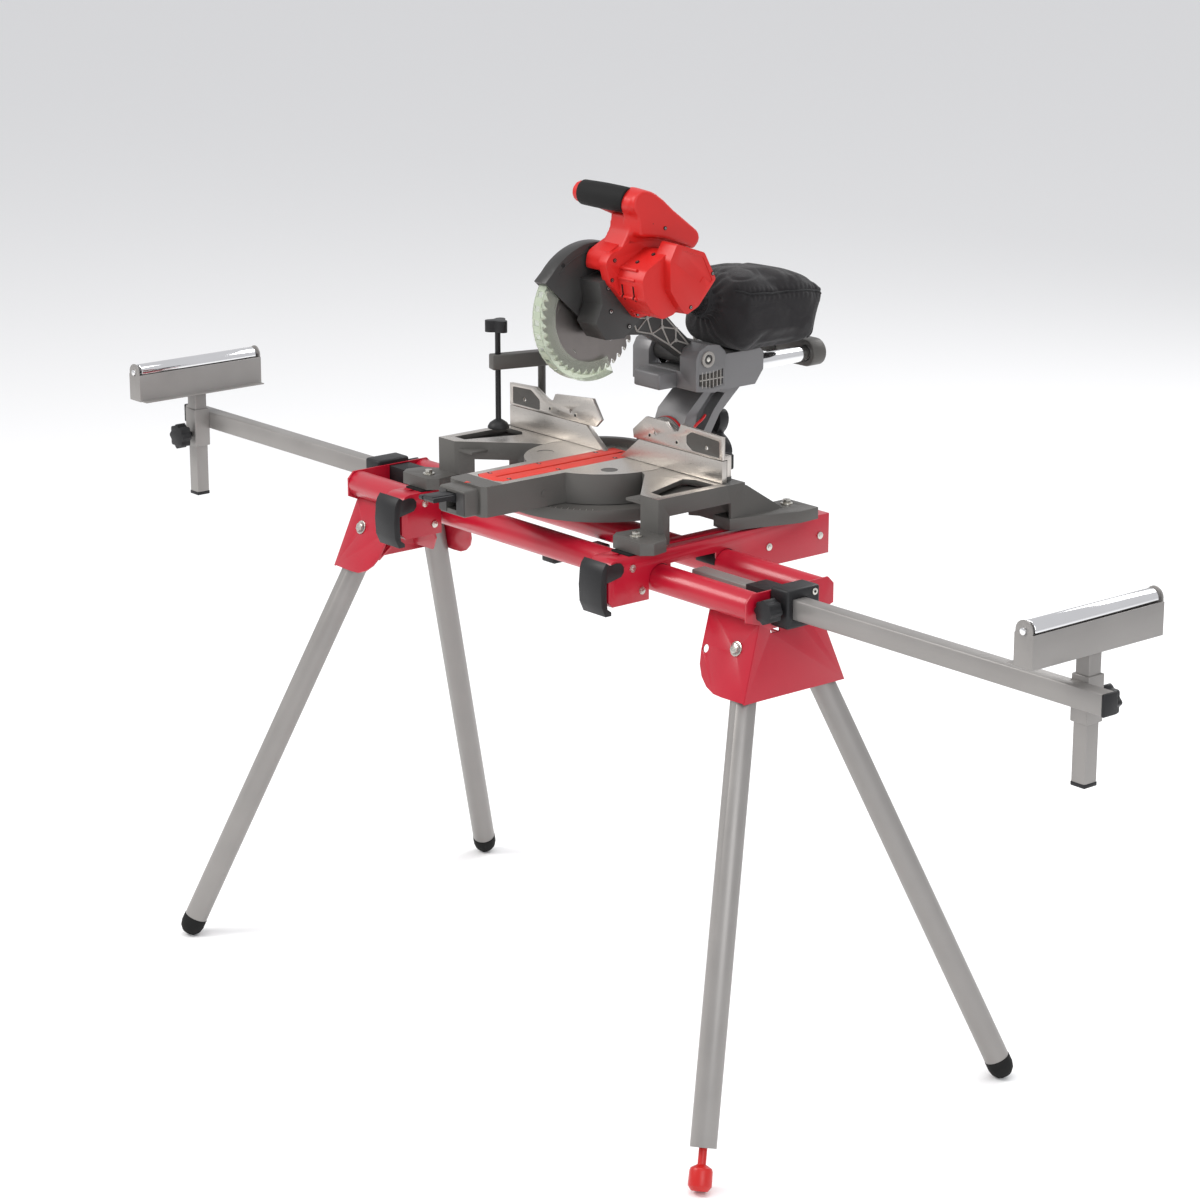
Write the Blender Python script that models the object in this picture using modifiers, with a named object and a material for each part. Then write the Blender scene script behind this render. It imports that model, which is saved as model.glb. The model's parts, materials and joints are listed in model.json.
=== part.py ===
"""Sliding mitre saw bolted to a folding saw stand. Blender 4.5, metres, +Z up.

The origin is on the floor, under the middle of the whole object's box.
X runs along the stand's beam (operator's right is +X), the operator stands at -Y.
"""
import bpy
import bmesh
import math
from mathutils import Vector, Matrix

# ---------------------------------------------------------------- driving dimensions
OY = -0.0675          # moves the whole object so that its box is centred on the origin
BEAM_Z = 0.768        # height of the two beam tubes' axes
BEAM_R = 0.021
BEAM_Y = 0.064        # half the spacing of the beam tubes
BEAM_HALF = 0.4740    # half the length of the beam tubes
PIVOT_X = 0.446       # leg pivots
PIVOT_Z = 0.695
PIVOT_YS = {-1: 0.060, 1: 0.052}     # the right pair sits nearer the middle, so the pairs nest when folded
SPLAY = math.radians(20.3)    # legs lean out in Y
LEAN = math.radians(14.6)     # and out in X, measured in the splayed plane
LEG_R = 0.019
LEG_LEN = 0.7603       # pivot to the rubber foot's tip, along the leg
BAR_W = 0.026
BAR_H = 0.030
BAR_T = 0.002
BAR_Y = 0.018         # the two extension bars lie side by side
BAR_OUT = 1.095
BAR_IN = 0.300
POST = 0.024
SUPPORT_X = 1.030
ROLLER_R = 0.013
ROLLER_HALF = 0.118
ARM_X = 0.248         # mounting arms sit under the saw's bolt holes
ARM_TOP = 0.810
PAD = 0.003
SY = 0.050            # the saw's turntable centre, behind the beam's centre line
SZ = ARM_TOP + PAD + 0.0003
TABLE = 0.070         # saw table height over its feet
TURN_R = 0.118
BLADE_R = 0.095
BLADE_C = (-0.021, 0.295)     # y, z of the arbor with the head up
HEAD_PIVOT = (0.156, 0.212)
BEVEL_Y = 0.130

COL = bpy.data.collections.new("mitre_saw_on_stand")
for o in list(bpy.data.objects):
    bpy.data.objects.remove(o)
bpy.context.scene.collection.children.link(COL)

# ---------------------------------------------------------------- materials
MATS = {}


def material(name, color, rough, metal):
    m = bpy.data.materials.new(name)
    m.use_nodes = True
    b = m.node_tree.nodes["Principled BSDF"]
    b.inputs["Base Color"].default_value = (*color, 1)
    b.inputs["Roughness"].default_value = rough
    b.inputs["Metallic"].default_value = metal
    MATS[name] = m


material("red_paint", (0.60, 0.006, 0.022), 0.35, 0.0)
material("red_plastic", (0.66, 0.012, 0.010), 0.45, 0.0)
material("kerf_red", (0.80, 0.06, 0.025), 0.5, 0.0)
material("grey_paint", (0.40, 0.39, 0.37), 0.4, 0.3)
material("cast_grey", (0.13, 0.125, 0.12), 0.55, 0.4)
material("machined", (0.55, 0.53, 0.50), 0.35, 0.9)
material("black_plastic", (0.02, 0.02, 0.022), 0.5, 0.0)
material("rubber", (0.015, 0.015, 0.015), 0.8, 0.0)
material("chrome", (0.75, 0.75, 0.76), 0.12, 1.0)
material("steel", (0.45, 0.43, 0.41), 0.35, 1.0)
material("clear_guard", (0.75, 0.80, 0.72), 0.1, 0.0)
material("bag_cloth", (0.03, 0.03, 0.033), 0.95, 0.0)


# ---------------------------------------------------------------- helpers
def link(name, mesh, mat=None):
    o = bpy.data.objects.new(name, mesh)
    COL.objects.link(o)
    if mat:
        mesh.materials.clear()
        mesh.materials.append(MATS[mat])
    return o


def from_bm(name, bm, mat=None):
    bmesh.ops.recalc_face_normals(bm, faces=bm.faces)
    me = bpy.data.meshes.new(name)
    bm.to_mesh(me)
    bm.free()
    return link(name, me, mat)


def bevel_bm(bm, width, segments=1, angle=0.6):
    if width <= 0:
        return
    edges = [e for e in bm.edges if len(e.link_faces) == 2 and e.calc_face_angle(0) > angle]
    bmesh.ops.bevel(bm, geom=edges, offset=width, segments=segments, affect="EDGES", clamp_overlap=True)


def box(name, lo, hi, mat=None, bevel=0.0, segments=1):
    bm = bmesh.new()
    c = [(a + b) / 2 for a, b in zip(lo, hi)]
    s = [abs(b - a) for a, b in zip(lo, hi)]
    bmesh.ops.create_cube(bm, size=1, matrix=Matrix.Translation(c) @ Matrix.Diagonal((*s, 1)))
    bevel_bm(bm, bevel, segments)
    return from_bm(name, bm, mat)


def rod(name, a, b, r, seg=20, mat=None, r2=None, bevel=0.0):
    """A solid cylinder or cone between two points."""
    a, b = Vector(a), Vector(b)
    d = b - a
    bm = bmesh.new()
    m = Matrix.Translation((a + b) / 2) @ d.to_track_quat("Z", "Y").to_matrix().to_4x4()
    bmesh.ops.create_cone(bm, cap_ends=True, segments=seg, radius1=r, radius2=r if r2 is None else r2, depth=d.length, matrix=m)
    bevel_bm(bm, bevel, 1, 1.0)
    return from_bm(name, bm, mat)


def plate(name, loops, plane, lo, hi, mat=None, bevel=0.0):
    """A flat outline (first loop) with holes (other loops), as a filled 2D curve with an extrude, made a mesh.
    plane 'xy' extrudes along z, 'yz' along x, 'xz' along y, from lo to hi."""
    cu = bpy.data.curves.new(name, "CURVE")
    cu.dimensions = "2D"
    cu.fill_mode = "BOTH"
    cu.extrude = abs(hi - lo) / 2
    for pts in loops:
        sp = cu.splines.new("POLY")
        sp.points.add(len(pts) - 1)
        for p, q in zip(sp.points, pts):
            p.co = (q[0], q[1], 0, 1)
        sp.use_cyclic_u = True
    o = bpy.data.objects.new(name, cu)
    COL.objects.link(o)
    mid = (lo + hi) / 2
    if plane == "xy":
        m = Matrix.Translation((0, 0, mid))
    elif plane == "yz":
        m = Matrix(((0, 0, 1, mid), (1, 0, 0, 0), (0, 1, 0, 0), (0, 0, 0, 1)))
    else:
        m = Matrix(((1, 0, 0, 0), (0, 0, -1, mid), (0, 1, 0, 0), (0, 0, 0, 1)))
    o.matrix_world = m
    bpy.context.view_layer.update()
    dg = bpy.context.evaluated_depsgraph_get()
    me = bpy.data.meshes.new_from_object(o.evaluated_get(dg))
    me.transform(o.matrix_world)
    bpy.data.objects.remove(o)
    bm = bmesh.new()
    bm.from_mesh(me)
    bmesh.ops.remove_doubles(bm, verts=bm.verts, dist=1e-6)
    bmesh.ops.dissolve_limit(bm, angle_limit=0.01, verts=bm.verts, edges=bm.edges)
    bevel_bm(bm, bevel)
    bpy.data.meshes.remove(me)
    return from_bm(name, bm, mat)


def lathe(name, profile, origin, axis, seg=24, mat=None):
    """A turned shape: profile of (radius, height), from the top on the axis down the outer side to the bottom on the axis."""
    me = bpy.data.meshes.new(name)
    bm = bmesh.new()
    vs = [bm.verts.new((r, 0, h)) for r, h in profile]
    for a, b in zip(vs, vs[1:]):
        bm.edges.new((a, b))
    bm.to_mesh(me)
    bm.free()
    o = link(name, me, mat)
    s = o.modifiers.new("turn", "SCREW")
    s.steps = s.render_steps = seg
    s.use_merge_vertices = True
    s.merge_threshold = 0.00001
    q = Vector(axis).to_track_quat("Z", "Y").to_matrix().to_4x4()
    apply_mesh(o)
    o.data.transform(Matrix.Translation(origin) @ q)
    bm = bmesh.new()
    bm.from_mesh(o.data)
    bmesh.ops.remove_doubles(bm, verts=bm.verts, dist=1e-6)
    bmesh.ops.recalc_face_normals(bm, faces=bm.faces)
    bm.to_mesh(o.data)
    bm.free()
    return o


def apply_mesh(o):
    bpy.context.view_layer.update()
    dg = bpy.context.evaluated_depsgraph_get()
    me = bpy.data.meshes.new_from_object(o.evaluated_get(dg))
    old = o.data
    mats = [m for m in old.materials]
    o.modifiers.clear()
    o.data = me
    if not me.materials and mats:
        for m in mats:
            me.materials.append(m)
    return o


def boolean(o, other, op):
    m = o.modifiers.new("b", "BOOLEAN")
    m.operation = op
    m.solver = "EXACT"
    m.object = other
    apply_mesh(o)
    bpy.data.objects.remove(other)
    return o


def join(o, *others):
    for x in others:
        boolean(o, x, "UNION")
    return o


def cut(o, *others):
    for x in others:
        boolean(o, x, "DIFFERENCE")
    return o


def move(o, v):
    o.data.transform(Matrix.Translation(v))
    return o


def paint(o, mat):
    o.data.materials.clear()
    o.data.materials.append(MATS[mat])
    for p in o.data.polygons:
        p.material_index = 0
    return o


def circle(cx, cy, r, n=16, start=0.0, end=2 * math.pi):
    full = abs(end - start - 2 * math.pi) < 1e-9
    k = n if full else n - 1
    return [(cx + r * math.cos(start + (end - start) * i / k), cy + r * math.sin(start + (end - start) * i / k)) for i in range(n)]


def mirror_x(pts):
    return [(-x, y) for x, y in reversed(pts)]


# ================================================================ STAND
# --- beam tubes
for side, sy in (("front", -1), ("rear", 1)):
    t = rod(f"{side}_beam_tube", (-BEAM_HALF, sy * BEAM_Y, BEAM_Z), (BEAM_HALF, sy * BEAM_Y, BEAM_Z), BEAM_R, 28, "red_paint")
    cut(t, rod("c", (-BEAM_HALF - 0.01, sy * BEAM_Y, BEAM_Z), (BEAM_HALF + 0.01, sy * BEAM_Y, BEAM_Z), BEAM_R - 0.002, 20))

box("centre_cross_member", (-0.015, -0.056, 0.7335), (0.015, 0.056, 0.7462), "black_plastic", 0.002)

# --- leg housings: a pressed end plate, two splayed outer cheeks and two inner cheeks
def splay_matrix(sx, sy):
    """Local frame of one leg: origin at its pivot, local X along the beam (out), local Y the hinge axis (out of the beam), local Z up in the splayed plane."""
    ez = Vector((0, -sy * math.sin(SPLAY), math.cos(SPLAY)))
    ey = Vector((0, sy * math.cos(SPLAY), math.sin(SPLAY)))
    ex = Vector((sx, 0, 0))
    m = Matrix((ex, ey, ez)).transposed().to_4x4()
    m.translation = (sx * PIVOT_X, sy * PIVOT_YS[sx], PIVOT_Z)
    return m


def flip_if_needed(o, m):
    o.data.transform(m)
    if m.determinant() < 0:
        o.data.flip_normals()
    return o


CHEEK_IN, CHEEK_OUT = 0.0200, 0.0232     # outer cheek, distance from the leg's plane
TOP_CHEEK = 0.0470                       # top edge of the cheeks above the pivot, in the splayed plane
PLATE_X, PLATE_LEAN = 0.4744, 0.118      # inner face of the end plate, and how it leans out below the tubes


def plate_x(z):
    return PLATE_X + PLATE_LEAN * max(0.0, 0.742 - z)


for side, sx in (("left", -1), ("right", 1)):
    py = PIVOT_YS[sx]

    def cheek_y(z, off):
        return py + off / math.cos(SPLAY) + (PIVOT_Z - z) * math.tan(SPLAY)

    z_top, z_bot = 0.790, 0.6345
    half = [(0.074, z_top), (0.0850, 0.779), (0.0850, 0.7500), (cheek_y(0.742, 0.0224), 0.742), (cheek_y(z_bot, 0.0224), z_bot)]
    h = plate(f"{side}_leg_housing", [half + [(-y, z) for y, z in reversed(half)]], "yz", 0, 0.003, "red_paint")
    for v in h.data.vertices:
        v.co.x = sx * (v.co.x + plate_x(v.co.z))
    bm = bmesh.new(); bm.from_mesh(h.data); bmesh.ops.recalc_face_normals(bm, faces=bm.faces); bm.to_mesh(h.data); bm.free()
    for sy in (-1, 1):
        m = splay_matrix(sx, sy)
        # outer cheek outline in local X (out) and Z (up): straight outer edge along the end plate, round inner corner
        edge = lambda lz: plate_x(PIVOT_Z + lz * math.cos(SPLAY) + 0.0216 * math.sin(SPLAY)) + 0.0015 - PIVOT_X
        rr = 0.060
        outline = [(edge(TOP_CHEEK), TOP_CHEEK), (edge(0.0415), 0.0415), (edge(-0.0715), -0.0715)]
        outline += [(rr * math.cos(a) - 0.0090, rr * math.sin(a) - 0.0130) for a in [math.radians(d) for d in (-84, -102, -120, -138, -156, -176)]]
        outline += [(-0.0750, TOP_CHEEK)]
        hole2 = circle(-0.0610, 0.0 if sx < 0 else -0.0130, 0.0062, 12)
        c = plate("c", [outline, circle(0, 0, 0.0052, 12), hole2], "xz", CHEEK_IN, CHEEK_OUT)
        flip_if_needed(c, m)
        ein = lambda lz: plate_x(PIVOT_Z + lz * math.cos(SPLAY) - 0.0216 * math.sin(SPLAY)) + 0.0015 - PIVOT_X
        inner = [(ein(0.020), 0.020), (ein(-0.045), -0.045), (-0.010, -0.045), (-0.030, -0.020), (-0.034, 0.020)]
        ci = plate("c", [inner, circle(0, 0, 0.0052, 12)], "xz", -0.0232, -0.0200)
        flip_if_needed(ci, m)
        join(h, c, ci)
    # window for the bar guide: the left bar runs at +Y, the right bar at -Y
    by = -sx * BAR_Y
    cut(h, box("c", (sx * 0.45 - 0.06, by - 0.0205, BEAM_Z - 0.0205), (sx * 0.45 + 0.06, by + 0.0205, BEAM_Z + 0.0205)))
    paint(h, "red_paint")

    # bar guide and clamp: a block outside the end plate and a guide that passes through it
    zc = BEAM_Z
    X0, X1 = sx * 0.4790, sx * 0.5160
    y_f, y_r = by + sx * 0.0390, by - sx * 0.0235      # long side away from the knob
    blk = box(f"{side}_bar_clamp_block", (min(X0, X1), min(y_f, y_r), zc - 0.0285), (max(X0, X1), max(y_f, y_r), zc + 0.0290), "black_plastic", 0.004)
    join(blk, box("c", (min(sx * 0.425, sx * 0.490), by - 0.0198, zc - 0.0198), (max(sx * 0.425, sx * 0.490), by + 0.0198, zc + 0.0198)))
    cut(blk, box("c", (min(sx * 0.40, sx * 0.53), by - BAR_W / 2 - 0.0004, zc - BAR_H / 2 - 0.0004), (max(sx * 0.40, sx * 0.53), by + BAR_W / 2 + 0.0004, zc + BAR_H / 2 + 0.0004)))
    kx, ky, kdir = sx * 0.4990, y_r, -sx        # the knob is on the bar's own side
    cut(blk, rod("c", (kx, by, zc), (kx, by + kdir * 0.04, zc), 0.0045, 12))
    paint(blk, "black_plastic")
    # lobed knob with its screw
    kn = plate(f"{side}_bar_clamp_knob", [[(kx + (0.0168 + 0.0012 * math.cos(8 * a)) * math.cos(a), zc + (0.0168 + 0.0012 * math.cos(8 * a)) * math.sin(a)) for a in [2 * math.pi * i / 32 for i in range(32)]]],
               "xz", ky + kdir * 0.010, ky + kdir * 0.032, "black_plastic", 0.0)
    join(kn, rod("c", (kx, by + kdir * (BAR_W / 2 + 0.0008), zc), (kx, ky + kdir * 0.012, zc), 0.0040, 12), rod("c", (kx, ky + kdir * 0.0035, zc), (kx, ky + kdir * 0.0115, zc), 0.0095, 14))
    paint(kn, "black_plastic")

# --- legs
for side, sx in (("left", -1), ("right", 1)):
    for end, sy in (("front", -1), ("rear", 1)):
        m = splay_matrix(sx, sy)
        d = Vector((math.sin(LEAN), 0, -math.cos(LEAN)))
        foot_l = 0.030
        adjustable = side == "right" and end == "front"
        tube_end = LEG_LEN - (0.060 if adjustable else foot_l)
        leg = rod(f"{end}_{side}_leg", -d * 0.020, d * tube_end, LEG_R, 20, "grey_paint")
        if adjustable:
            cut(leg, rod("c", -d * 0.03, d * (tube_end - 0.012), LEG_R - 0.0018, 14), rod("c", d * (tube_end - 0.03), d * (tube_end + 0.01), 0.0066, 14))
        else:
            cut(leg, rod("c", -d * 0.03, d * (tube_end + 0.01), LEG_R - 0.0018, 14))
        # pivot bolt through both cheeks, with its head outside and nut inside, and the spring lock button
        join(leg, rod("c", (0, -0.0275, 0), (0, 0.0265, 0), 0.0045, 12), rod("c", (0, 0.0240, 0), (0, 0.0272, 0), 0.0085, 12), rod("c", (0, -0.0280, 0), (0, -0.0240, 0), 0.0075, 6))
        bl = d * 0.061
        join(leg, rod("c", bl + Vector((0, 0.012, 0)), bl + Vector((0, 0.0195, 0)), 0.0045, 10))
        flip_if_needed(leg, m)
        paint(leg, "grey_paint")
        if adjustable:
            ft = lathe(f"{end}_{side}_foot", [(0, 0), (0.0060, 0), (0.0060, -0.045), (0.0150, -0.050), (0.0165, -0.054), (0.0170, -0.075), (0.0120, -0.082), (0, -0.082)], d * (tube_end - 0.022), (-d.x, 0, -d.z), 16, "red_plastic")
            flip_if_needed(ft, m)
        else:
            ft = lathe(f"{end}_{side}_foot", [(0, 0.022), (0.0165, 0.022), (0.0165, 0), (0.0196, 0), (0.0196, -0.014), (0.0175, -0.0225), (0.012, -0.0297), (0, -0.0297)], d * (tube_end + 0.0003), (-d.x, 0, -d.z), 16, "rubber")
            flip_if_needed(ft, m)

# --- extension bars, posts, roller brackets, rollers, knobs
for side, sx in (("left", -1), ("right", 1)):
    by = -sx * BAR_Y
    zc = BEAM_Z
    post_y = by + sx * (BAR_W / 2 + 0.0150)
    bar = box(f"{side}_extension_bar", (min(sx * BAR_IN, sx * BAR_OUT), by - BAR_W / 2, zc - BAR_H / 2), (max(sx * BAR_IN, sx * BAR_OUT), by + BAR_W / 2, zc + BAR_H / 2), "grey_paint", 0.0025)
    # hollow from the inner end; the outer end is plugged
    cut(bar, box("c", (min(sx * (BAR_IN - 0.02), sx * (BAR_OUT - 0.006)), by - BAR_W / 2 + BAR_T, zc - BAR_H / 2 + BAR_T), (max(sx * (BAR_IN - 0.02), sx * (BAR_OUT - 0.006)), by + BAR_W / 2 - BAR_T, zc + BAR_H / 2 - BAR_T)))
    X = sx * SUPPORT_X
    sl = box("c", (X - 0.0152, post_y - 0.0152, 0.724), (X + 0.0152, post_y + 0.0152, 0.790), None, 0.0015)
    join(bar, sl)
    cut(bar, box("c", (X - POST / 2 - 0.0004, post_y - POST / 2 - 0.0004, 0.70), (X + POST / 2 + 0.0004, post_y + POST / 2 + 0.0004, 0.81)))
    kf = post_y + sx * 0.0152
    kz = 0.745
    cut(bar, rod("c", (X, kf - sx * 0.006, kz), (X, kf + sx * 0.004, kz), 0.0045, 12))
    paint(bar, "grey_paint")
    kn = plate(f"{side}_support_knob", [[(X + (0.0200 + 0.0018 * math.cos(8 * a)) * math.cos(a), kz + (0.0200 + 0.0018 * math.cos(8 * a)) * math.sin(a)) for a in [2 * math.pi * i / 32 for i in range(32)]]],
               "xz", kf + sx * 0.012, kf + sx * 0.030, "black_plastic")
    join(kn, rod("c", (X, kf - sx * 0.0020, kz), (X, kf + sx * 0.014, kz), 0.0040, 12), rod("c", (X, kf + sx * 0.004, kz), (X, kf + sx * 0.0125, kz), 0.009, 14))
    paint(kn, "black_plastic")
    r_z = SZ + TABLE - ROLLER_R
    post = box(f"{side}_support_post", (X - POST / 2, post_y - POST / 2, 0.636), (X + POST / 2, post_y + POST / 2, r_z - 0.0505), "grey_paint", 0.0018)
    cut(post, box("c", (X - POST / 2 + 0.002, post_y - POST / 2 + 0.002, 0.642), (X + POST / 2 - 0.002, post_y + POST / 2 - 0.002, r_z - 0.04)))
    paint(post, "grey_paint")
    # roller bracket: a pressed channel open at the top, with ears at both ends and a lip towards the saw
    b0, b1 = r_z - 0.0500, r_z - 0.0035
    yc = post_y
    br = box(f"{side}_roller_bracket", (X - 0.0165, yc - 0.126, b0), (X + 0.0165, yc + 0.126, b1), "grey_paint", 0.001)
    cut(br, box("c", (X - 0.0150, yc - 0.1235, b0 + 0.002), (X + 0.0150, yc + 0.1235, b1 + 0.02)))
    for e in (-1, 1):
        ear = plate("c", [circle(X, r_z, 0.0145, 16, 0, math.pi) + [(X - 0.0145, b1 - 0.004), (X + 0.0145, b1 - 0.004)]], "xz", yc + e * 0.1237, yc + e * 0.1258)
        join(br, ear)
    lip = box("c", (min(X - sx * 0.010, X - sx * 0.030), yc - 0.122, b0), (max(X - sx * 0.010, X - sx * 0.030), yc + 0.122, b0 + 0.0018))
    join(br, lip)
    cut(br, rod("c", (X, yc - 0.14, r_z), (X, yc + 0.14, r_z), 0.0053, 12))
    paint(br, "grey_paint")
    ro = rod(f"{side}_roller", (X, yc - ROLLER_HALF, r_z), (X, yc + ROLLER_HALF, r_z), ROLLER_R, 28, "chrome", bevel=0.0008)
    join(ro, rod("c", (X, yc - 0.1285, r_z), (X, yc + 0.1285, r_z), 0.0050, 12))
    paint(ro, "chrome")

# --- mounting arms (quick-release brackets) and their levers
for side, sx in (("left", -1), ("right", 1)):
    X = sx * ARM_X
    arch = lambda yc: [(yc + 0.0222 * math.cos(a), BEAM_Z + 0.0222 * math.sin(a)) for a in [math.pi * i / 10 for i in range(11)]]
    z_r, z_f = 0.7480, 0.7400
    prof = [(0.274, ARM_TOP), (-0.1470, ARM_TOP), (-0.1550, 0.8079), (-0.1609, 0.8020), (-0.1630, 0.7940), (-0.1630, 0.7480), (-0.156, z_f), (-0.0862, z_f)]
    prof += [(-BEAM_Y - 0.0222, BEAM_Z)] + [(y, z) for y, z in reversed(arch(-BEAM_Y))][1:-1] + [(-BEAM_Y + 0.0222, BEAM_Z), (-BEAM_Y + 0.0222, 0.756)]
    prof += [(BEAM_Y - 0.0222, 0.756), (BEAM_Y - 0.0222, BEAM_Z)] + [(y, z) for y, z in reversed(arch(BEAM_Y))][1:-1] + [(BEAM_Y + 0.0222, BEAM_Z), (BEAM_Y + 0.0222, z_r), (0.274, z_r)]
    arm = plate(f"{side}_mounting_arm", [prof], "yz", X - 0.022, X + 0.022, "red_paint")
    # hollow channel, open underneath and behind; it clears the extension bars
    cut(arm, box("c", (X - 0.0192, -0.150, 0.70), (X + 0.0192, 0.290, 0.8070)))
    cut(arm, box("c", (X - 0.03, -0.0445, 0.70), (X + 0.03, 0.0445, 0.7875)))
    # slots in the top for the saw's bolts
    for y0, y1 in ((-0.130, -0.060), (-0.030, 0.150), (0.170, 0.245)):
        cut(arm, box("c", (X - 0.0042, y0, 0.80), (X + 0.0042, y1, 0.82)))
    # grip pads under the saw's feet
    for y in (-0.093, 0.206):
        p = box("c", (X - 0.0200, y - 0.030, ARM_TOP - 0.001), (X + 0.0200, y + 0.030, ARM_TOP + PAD), None, 0.0008)
        cut(p, rod("c", (X, y, 0.79), (X, y, 0.83), 0.0046, 12))
        join(arm, p)
    paint(arm, "red_paint")
    # the lever: a curved black cam handle round the arm's nose, on a pin through the arm's cheeks
    PY, PZ = -0.1470, 0.7940
    pol = lambda r, a: (PY + r * math.cos(math.radians(a)), PZ + r * math.sin(math.radians(a)))
    strap = [pol(0.0270, 146), pol(0.0290, 163), pol(0.0310, 180), (-0.1800, 0.7700), (-0.1785, 0.7450), (-0.1710, 0.7290), (-0.1600, 0.7290), (-0.1600, 0.7345), (-0.1672, 0.7400), (-0.1690, 0.7550), (-0.1690, 0.7800), pol(0.0200, 180), pol(0.0180, 163), pol(0.0172, 146)]
    lv = plate(f"{side}_arm_lever", [strap], "yz", X - 0.0250, X + 0.0250, "black_plastic")
    for e in (-1, 1):
        ear = [(-0.1720, 0.8020), (-0.1750, 0.7780), (-0.1600, 0.7800)] + [pol(0.0115, a) for a in (-60, -20, 20, 60, 100)] + [(-0.1620, 0.8040)]
        join(lv, plate("c", [ear], "yz", min(X + e * 0.0224, X + e * 0.0246), max(X + e * 0.0224, X + e * 0.0246)))
    cut(arm, rod("c", (X - 0.03, PY, PZ), (X + 0.03, PY, PZ), 0.0039, 12))
    join(lv, rod("c", (X - 0.0235, PY, PZ), (X + 0.0235, PY, PZ), 0.0034, 12))
    paint(lv, "black_plastic")

# ================================================================ SAW (saw frame: turntable centre, feet at z = 0)
SAW = []


def saw(o):
    SAW.append(o)
    return o


# --- base casting
def wing(s):
    w = [(0.100, 0.028), (0.120, 0.028), (0.165, 0.058), (0.262, 0.058), (0.262, -0.112), (0.222, -0.112), (0.134, -0.028), (0.100, -0.010)]
    return w if s > 0 else mirror_x(w)


base = rod("saw_base", (0, 0, 0.004), (0, 0, 0.0225), 0.150, 40, "cast_grey")
cut(base, rod("c", (0, 0, -0.01), (0, 0, 0.014), 0.140, 36))
for s in (-1, 1):
    w = plate("c", [wing(s)], "xy", 0.0, TABLE)
    inner = [(0.105, 0.023), (0.122, 0.023), (0.167, 0.052), (0.257, 0.052), (0.257, -0.107), (0.224, -0.107), (0.137, -0.020), (0.105, -0.004)]
    cut(w, plate("c", [inner if s > 0 else mirror_x(inner)], "xy", -0.01, TABLE - 0.007))
    # arch between the front and rear foot, and under the inner end
    cut(w, box("c", (min(s * 0.150, s * 0.30), -0.090, -0.01), (max(s * 0.150, s * 0.30), 0.030, 0.042)))
    cut(w, box("c", (min(s * 0.09, s * 0.1530), -0.13, -0.01), (max(s * 0.09, s * 0.1530), 0.07, 0.0040)))
    # hand-hold pocket in the top
    pk = [(0.190, -0.002), (0.206, 0.010), (0.247, 0.010), (0.247, -0.092), (0.222, -0.092)]
    cut(w, plate("c", [pk if s > 0 else mirror_x(pk)], "xy", TABLE - 0.012, TABLE + 0.01))
    floor = box("c", (min(s * 0.184, s * 0.2575), -0.1075, TABLE - 0.016), (max(s * 0.184, s * 0.2575), 0.016, TABLE - 0.012))
    join(w, floor)
    # front foot, rear foot and its sloping web
    ft = plate("c", [[(0.212, -0.150), (0.224, -0.166), (0.284, -0.166), (0.297, -0.150), (0.292, -0.122), (0.262, -0.100), (0.218, -0.100)]] if s > 0 else [mirror_x([(0.212, -0.150), (0.224, -0.166), (0.284, -0.166), (0.297, -0.150), (0.292, -0.122), (0.262, -0.100), (0.218, -0.100)])], "xy", 0, 0.018)
    fr = plate("c", [[(0.226, 0.028), (0.262, 0.028), (0.296, 0.140), (0.294, 0.178), (0.226, 0.178)]] if s > 0 else [mirror_x([(0.226, 0.028), (0.262, 0.028), (0.296, 0.140), (0.294, 0.178), (0.226, 0.178)])], "xy", 0, 0.018)
    web = plate("c", [[(0.050, 0.005), (0.050, 0.069), (0.062, 0.064), (0.135, 0.018), (0.135, 0.005)]], "yz", min(s * 0.254, s * 0.262), max(s * 0.254, s * 0.262))
    join(w, ft, fr, web)
    cut(w, rod("c", (s * 0.248, -0.143, -0.01), (s * 0.248, -0.143, 0.03), 0.0046, 14), rod("c", (s * 0.248, 0.156, -0.01), (s * 0.248, 0.156, 0.03), 0.0046, 14))
    # relief behind the fence's face, so that the front land is clear
    cut(w, box("c", (min(s * 0.09, s * 0.27), 0.0212, TABLE - 0.0006), (max(s * 0.09, s * 0.27), 0.070, TABLE + 0.01)))
    # recess for the turntable disc
    cut(w, rod("c", (0, 0, 0.0228), (0, 0, 0.10), TURN_R + 0.0012, 40))
    join(base, w)
cut(base, rod("c", (0, 0, -0.01), (0, 0, 0.05), 0.0085, 16))
saw(paint(base, "cast_grey"))

# --- turntable with its arm and the bevel bracket at the back
tt = rod("turntable", (0, 0, 0.0236), (0, 0, TABLE), TURN_R, 44, "machined")
cut(tt, rod("c", (0, 0, 0.01), (0, 0, 0.058), TURN_R - 0.006, 40))
arm_o = [(-0.046, -0.100), (-0.043, -0.255), (-0.036, -0.262), (0.036, -0.262), (0.043, -0.255), (0.046, -0.100)]
ta = plate("c", [arm_o], "xy", 0.0236, TABLE)
cut(ta, plate("c", [[(-0.040, -0.09), (-0.038, -0.252), (0.038, -0.252), (0.040, -0.09)]], "xy", 0.01, TABLE - 0.012))
front_box = box("c", (-0.030, -0.288, 0.0255), (0.030, -0.255, 0.0660), None, 0.003)
hub = rod("c", (0, 0, 0.006), (0, 0, 0.040), 0.0070, 14)
rib = box("c", (-0.1150, -0.0120, 0.0300), (0.1150, 0.0120, 0.0460))
brk = box("c", (-0.036, 0.100, 0.0250), (0.036, 0.1284, TABLE - 0.002))
disc = rod("c", (0, 0.1050, TABLE), (0, 0.1285, TABLE), 0.0400, 26)
join(tt, ta, front_box, rib, hub, brk, disc)
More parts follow.
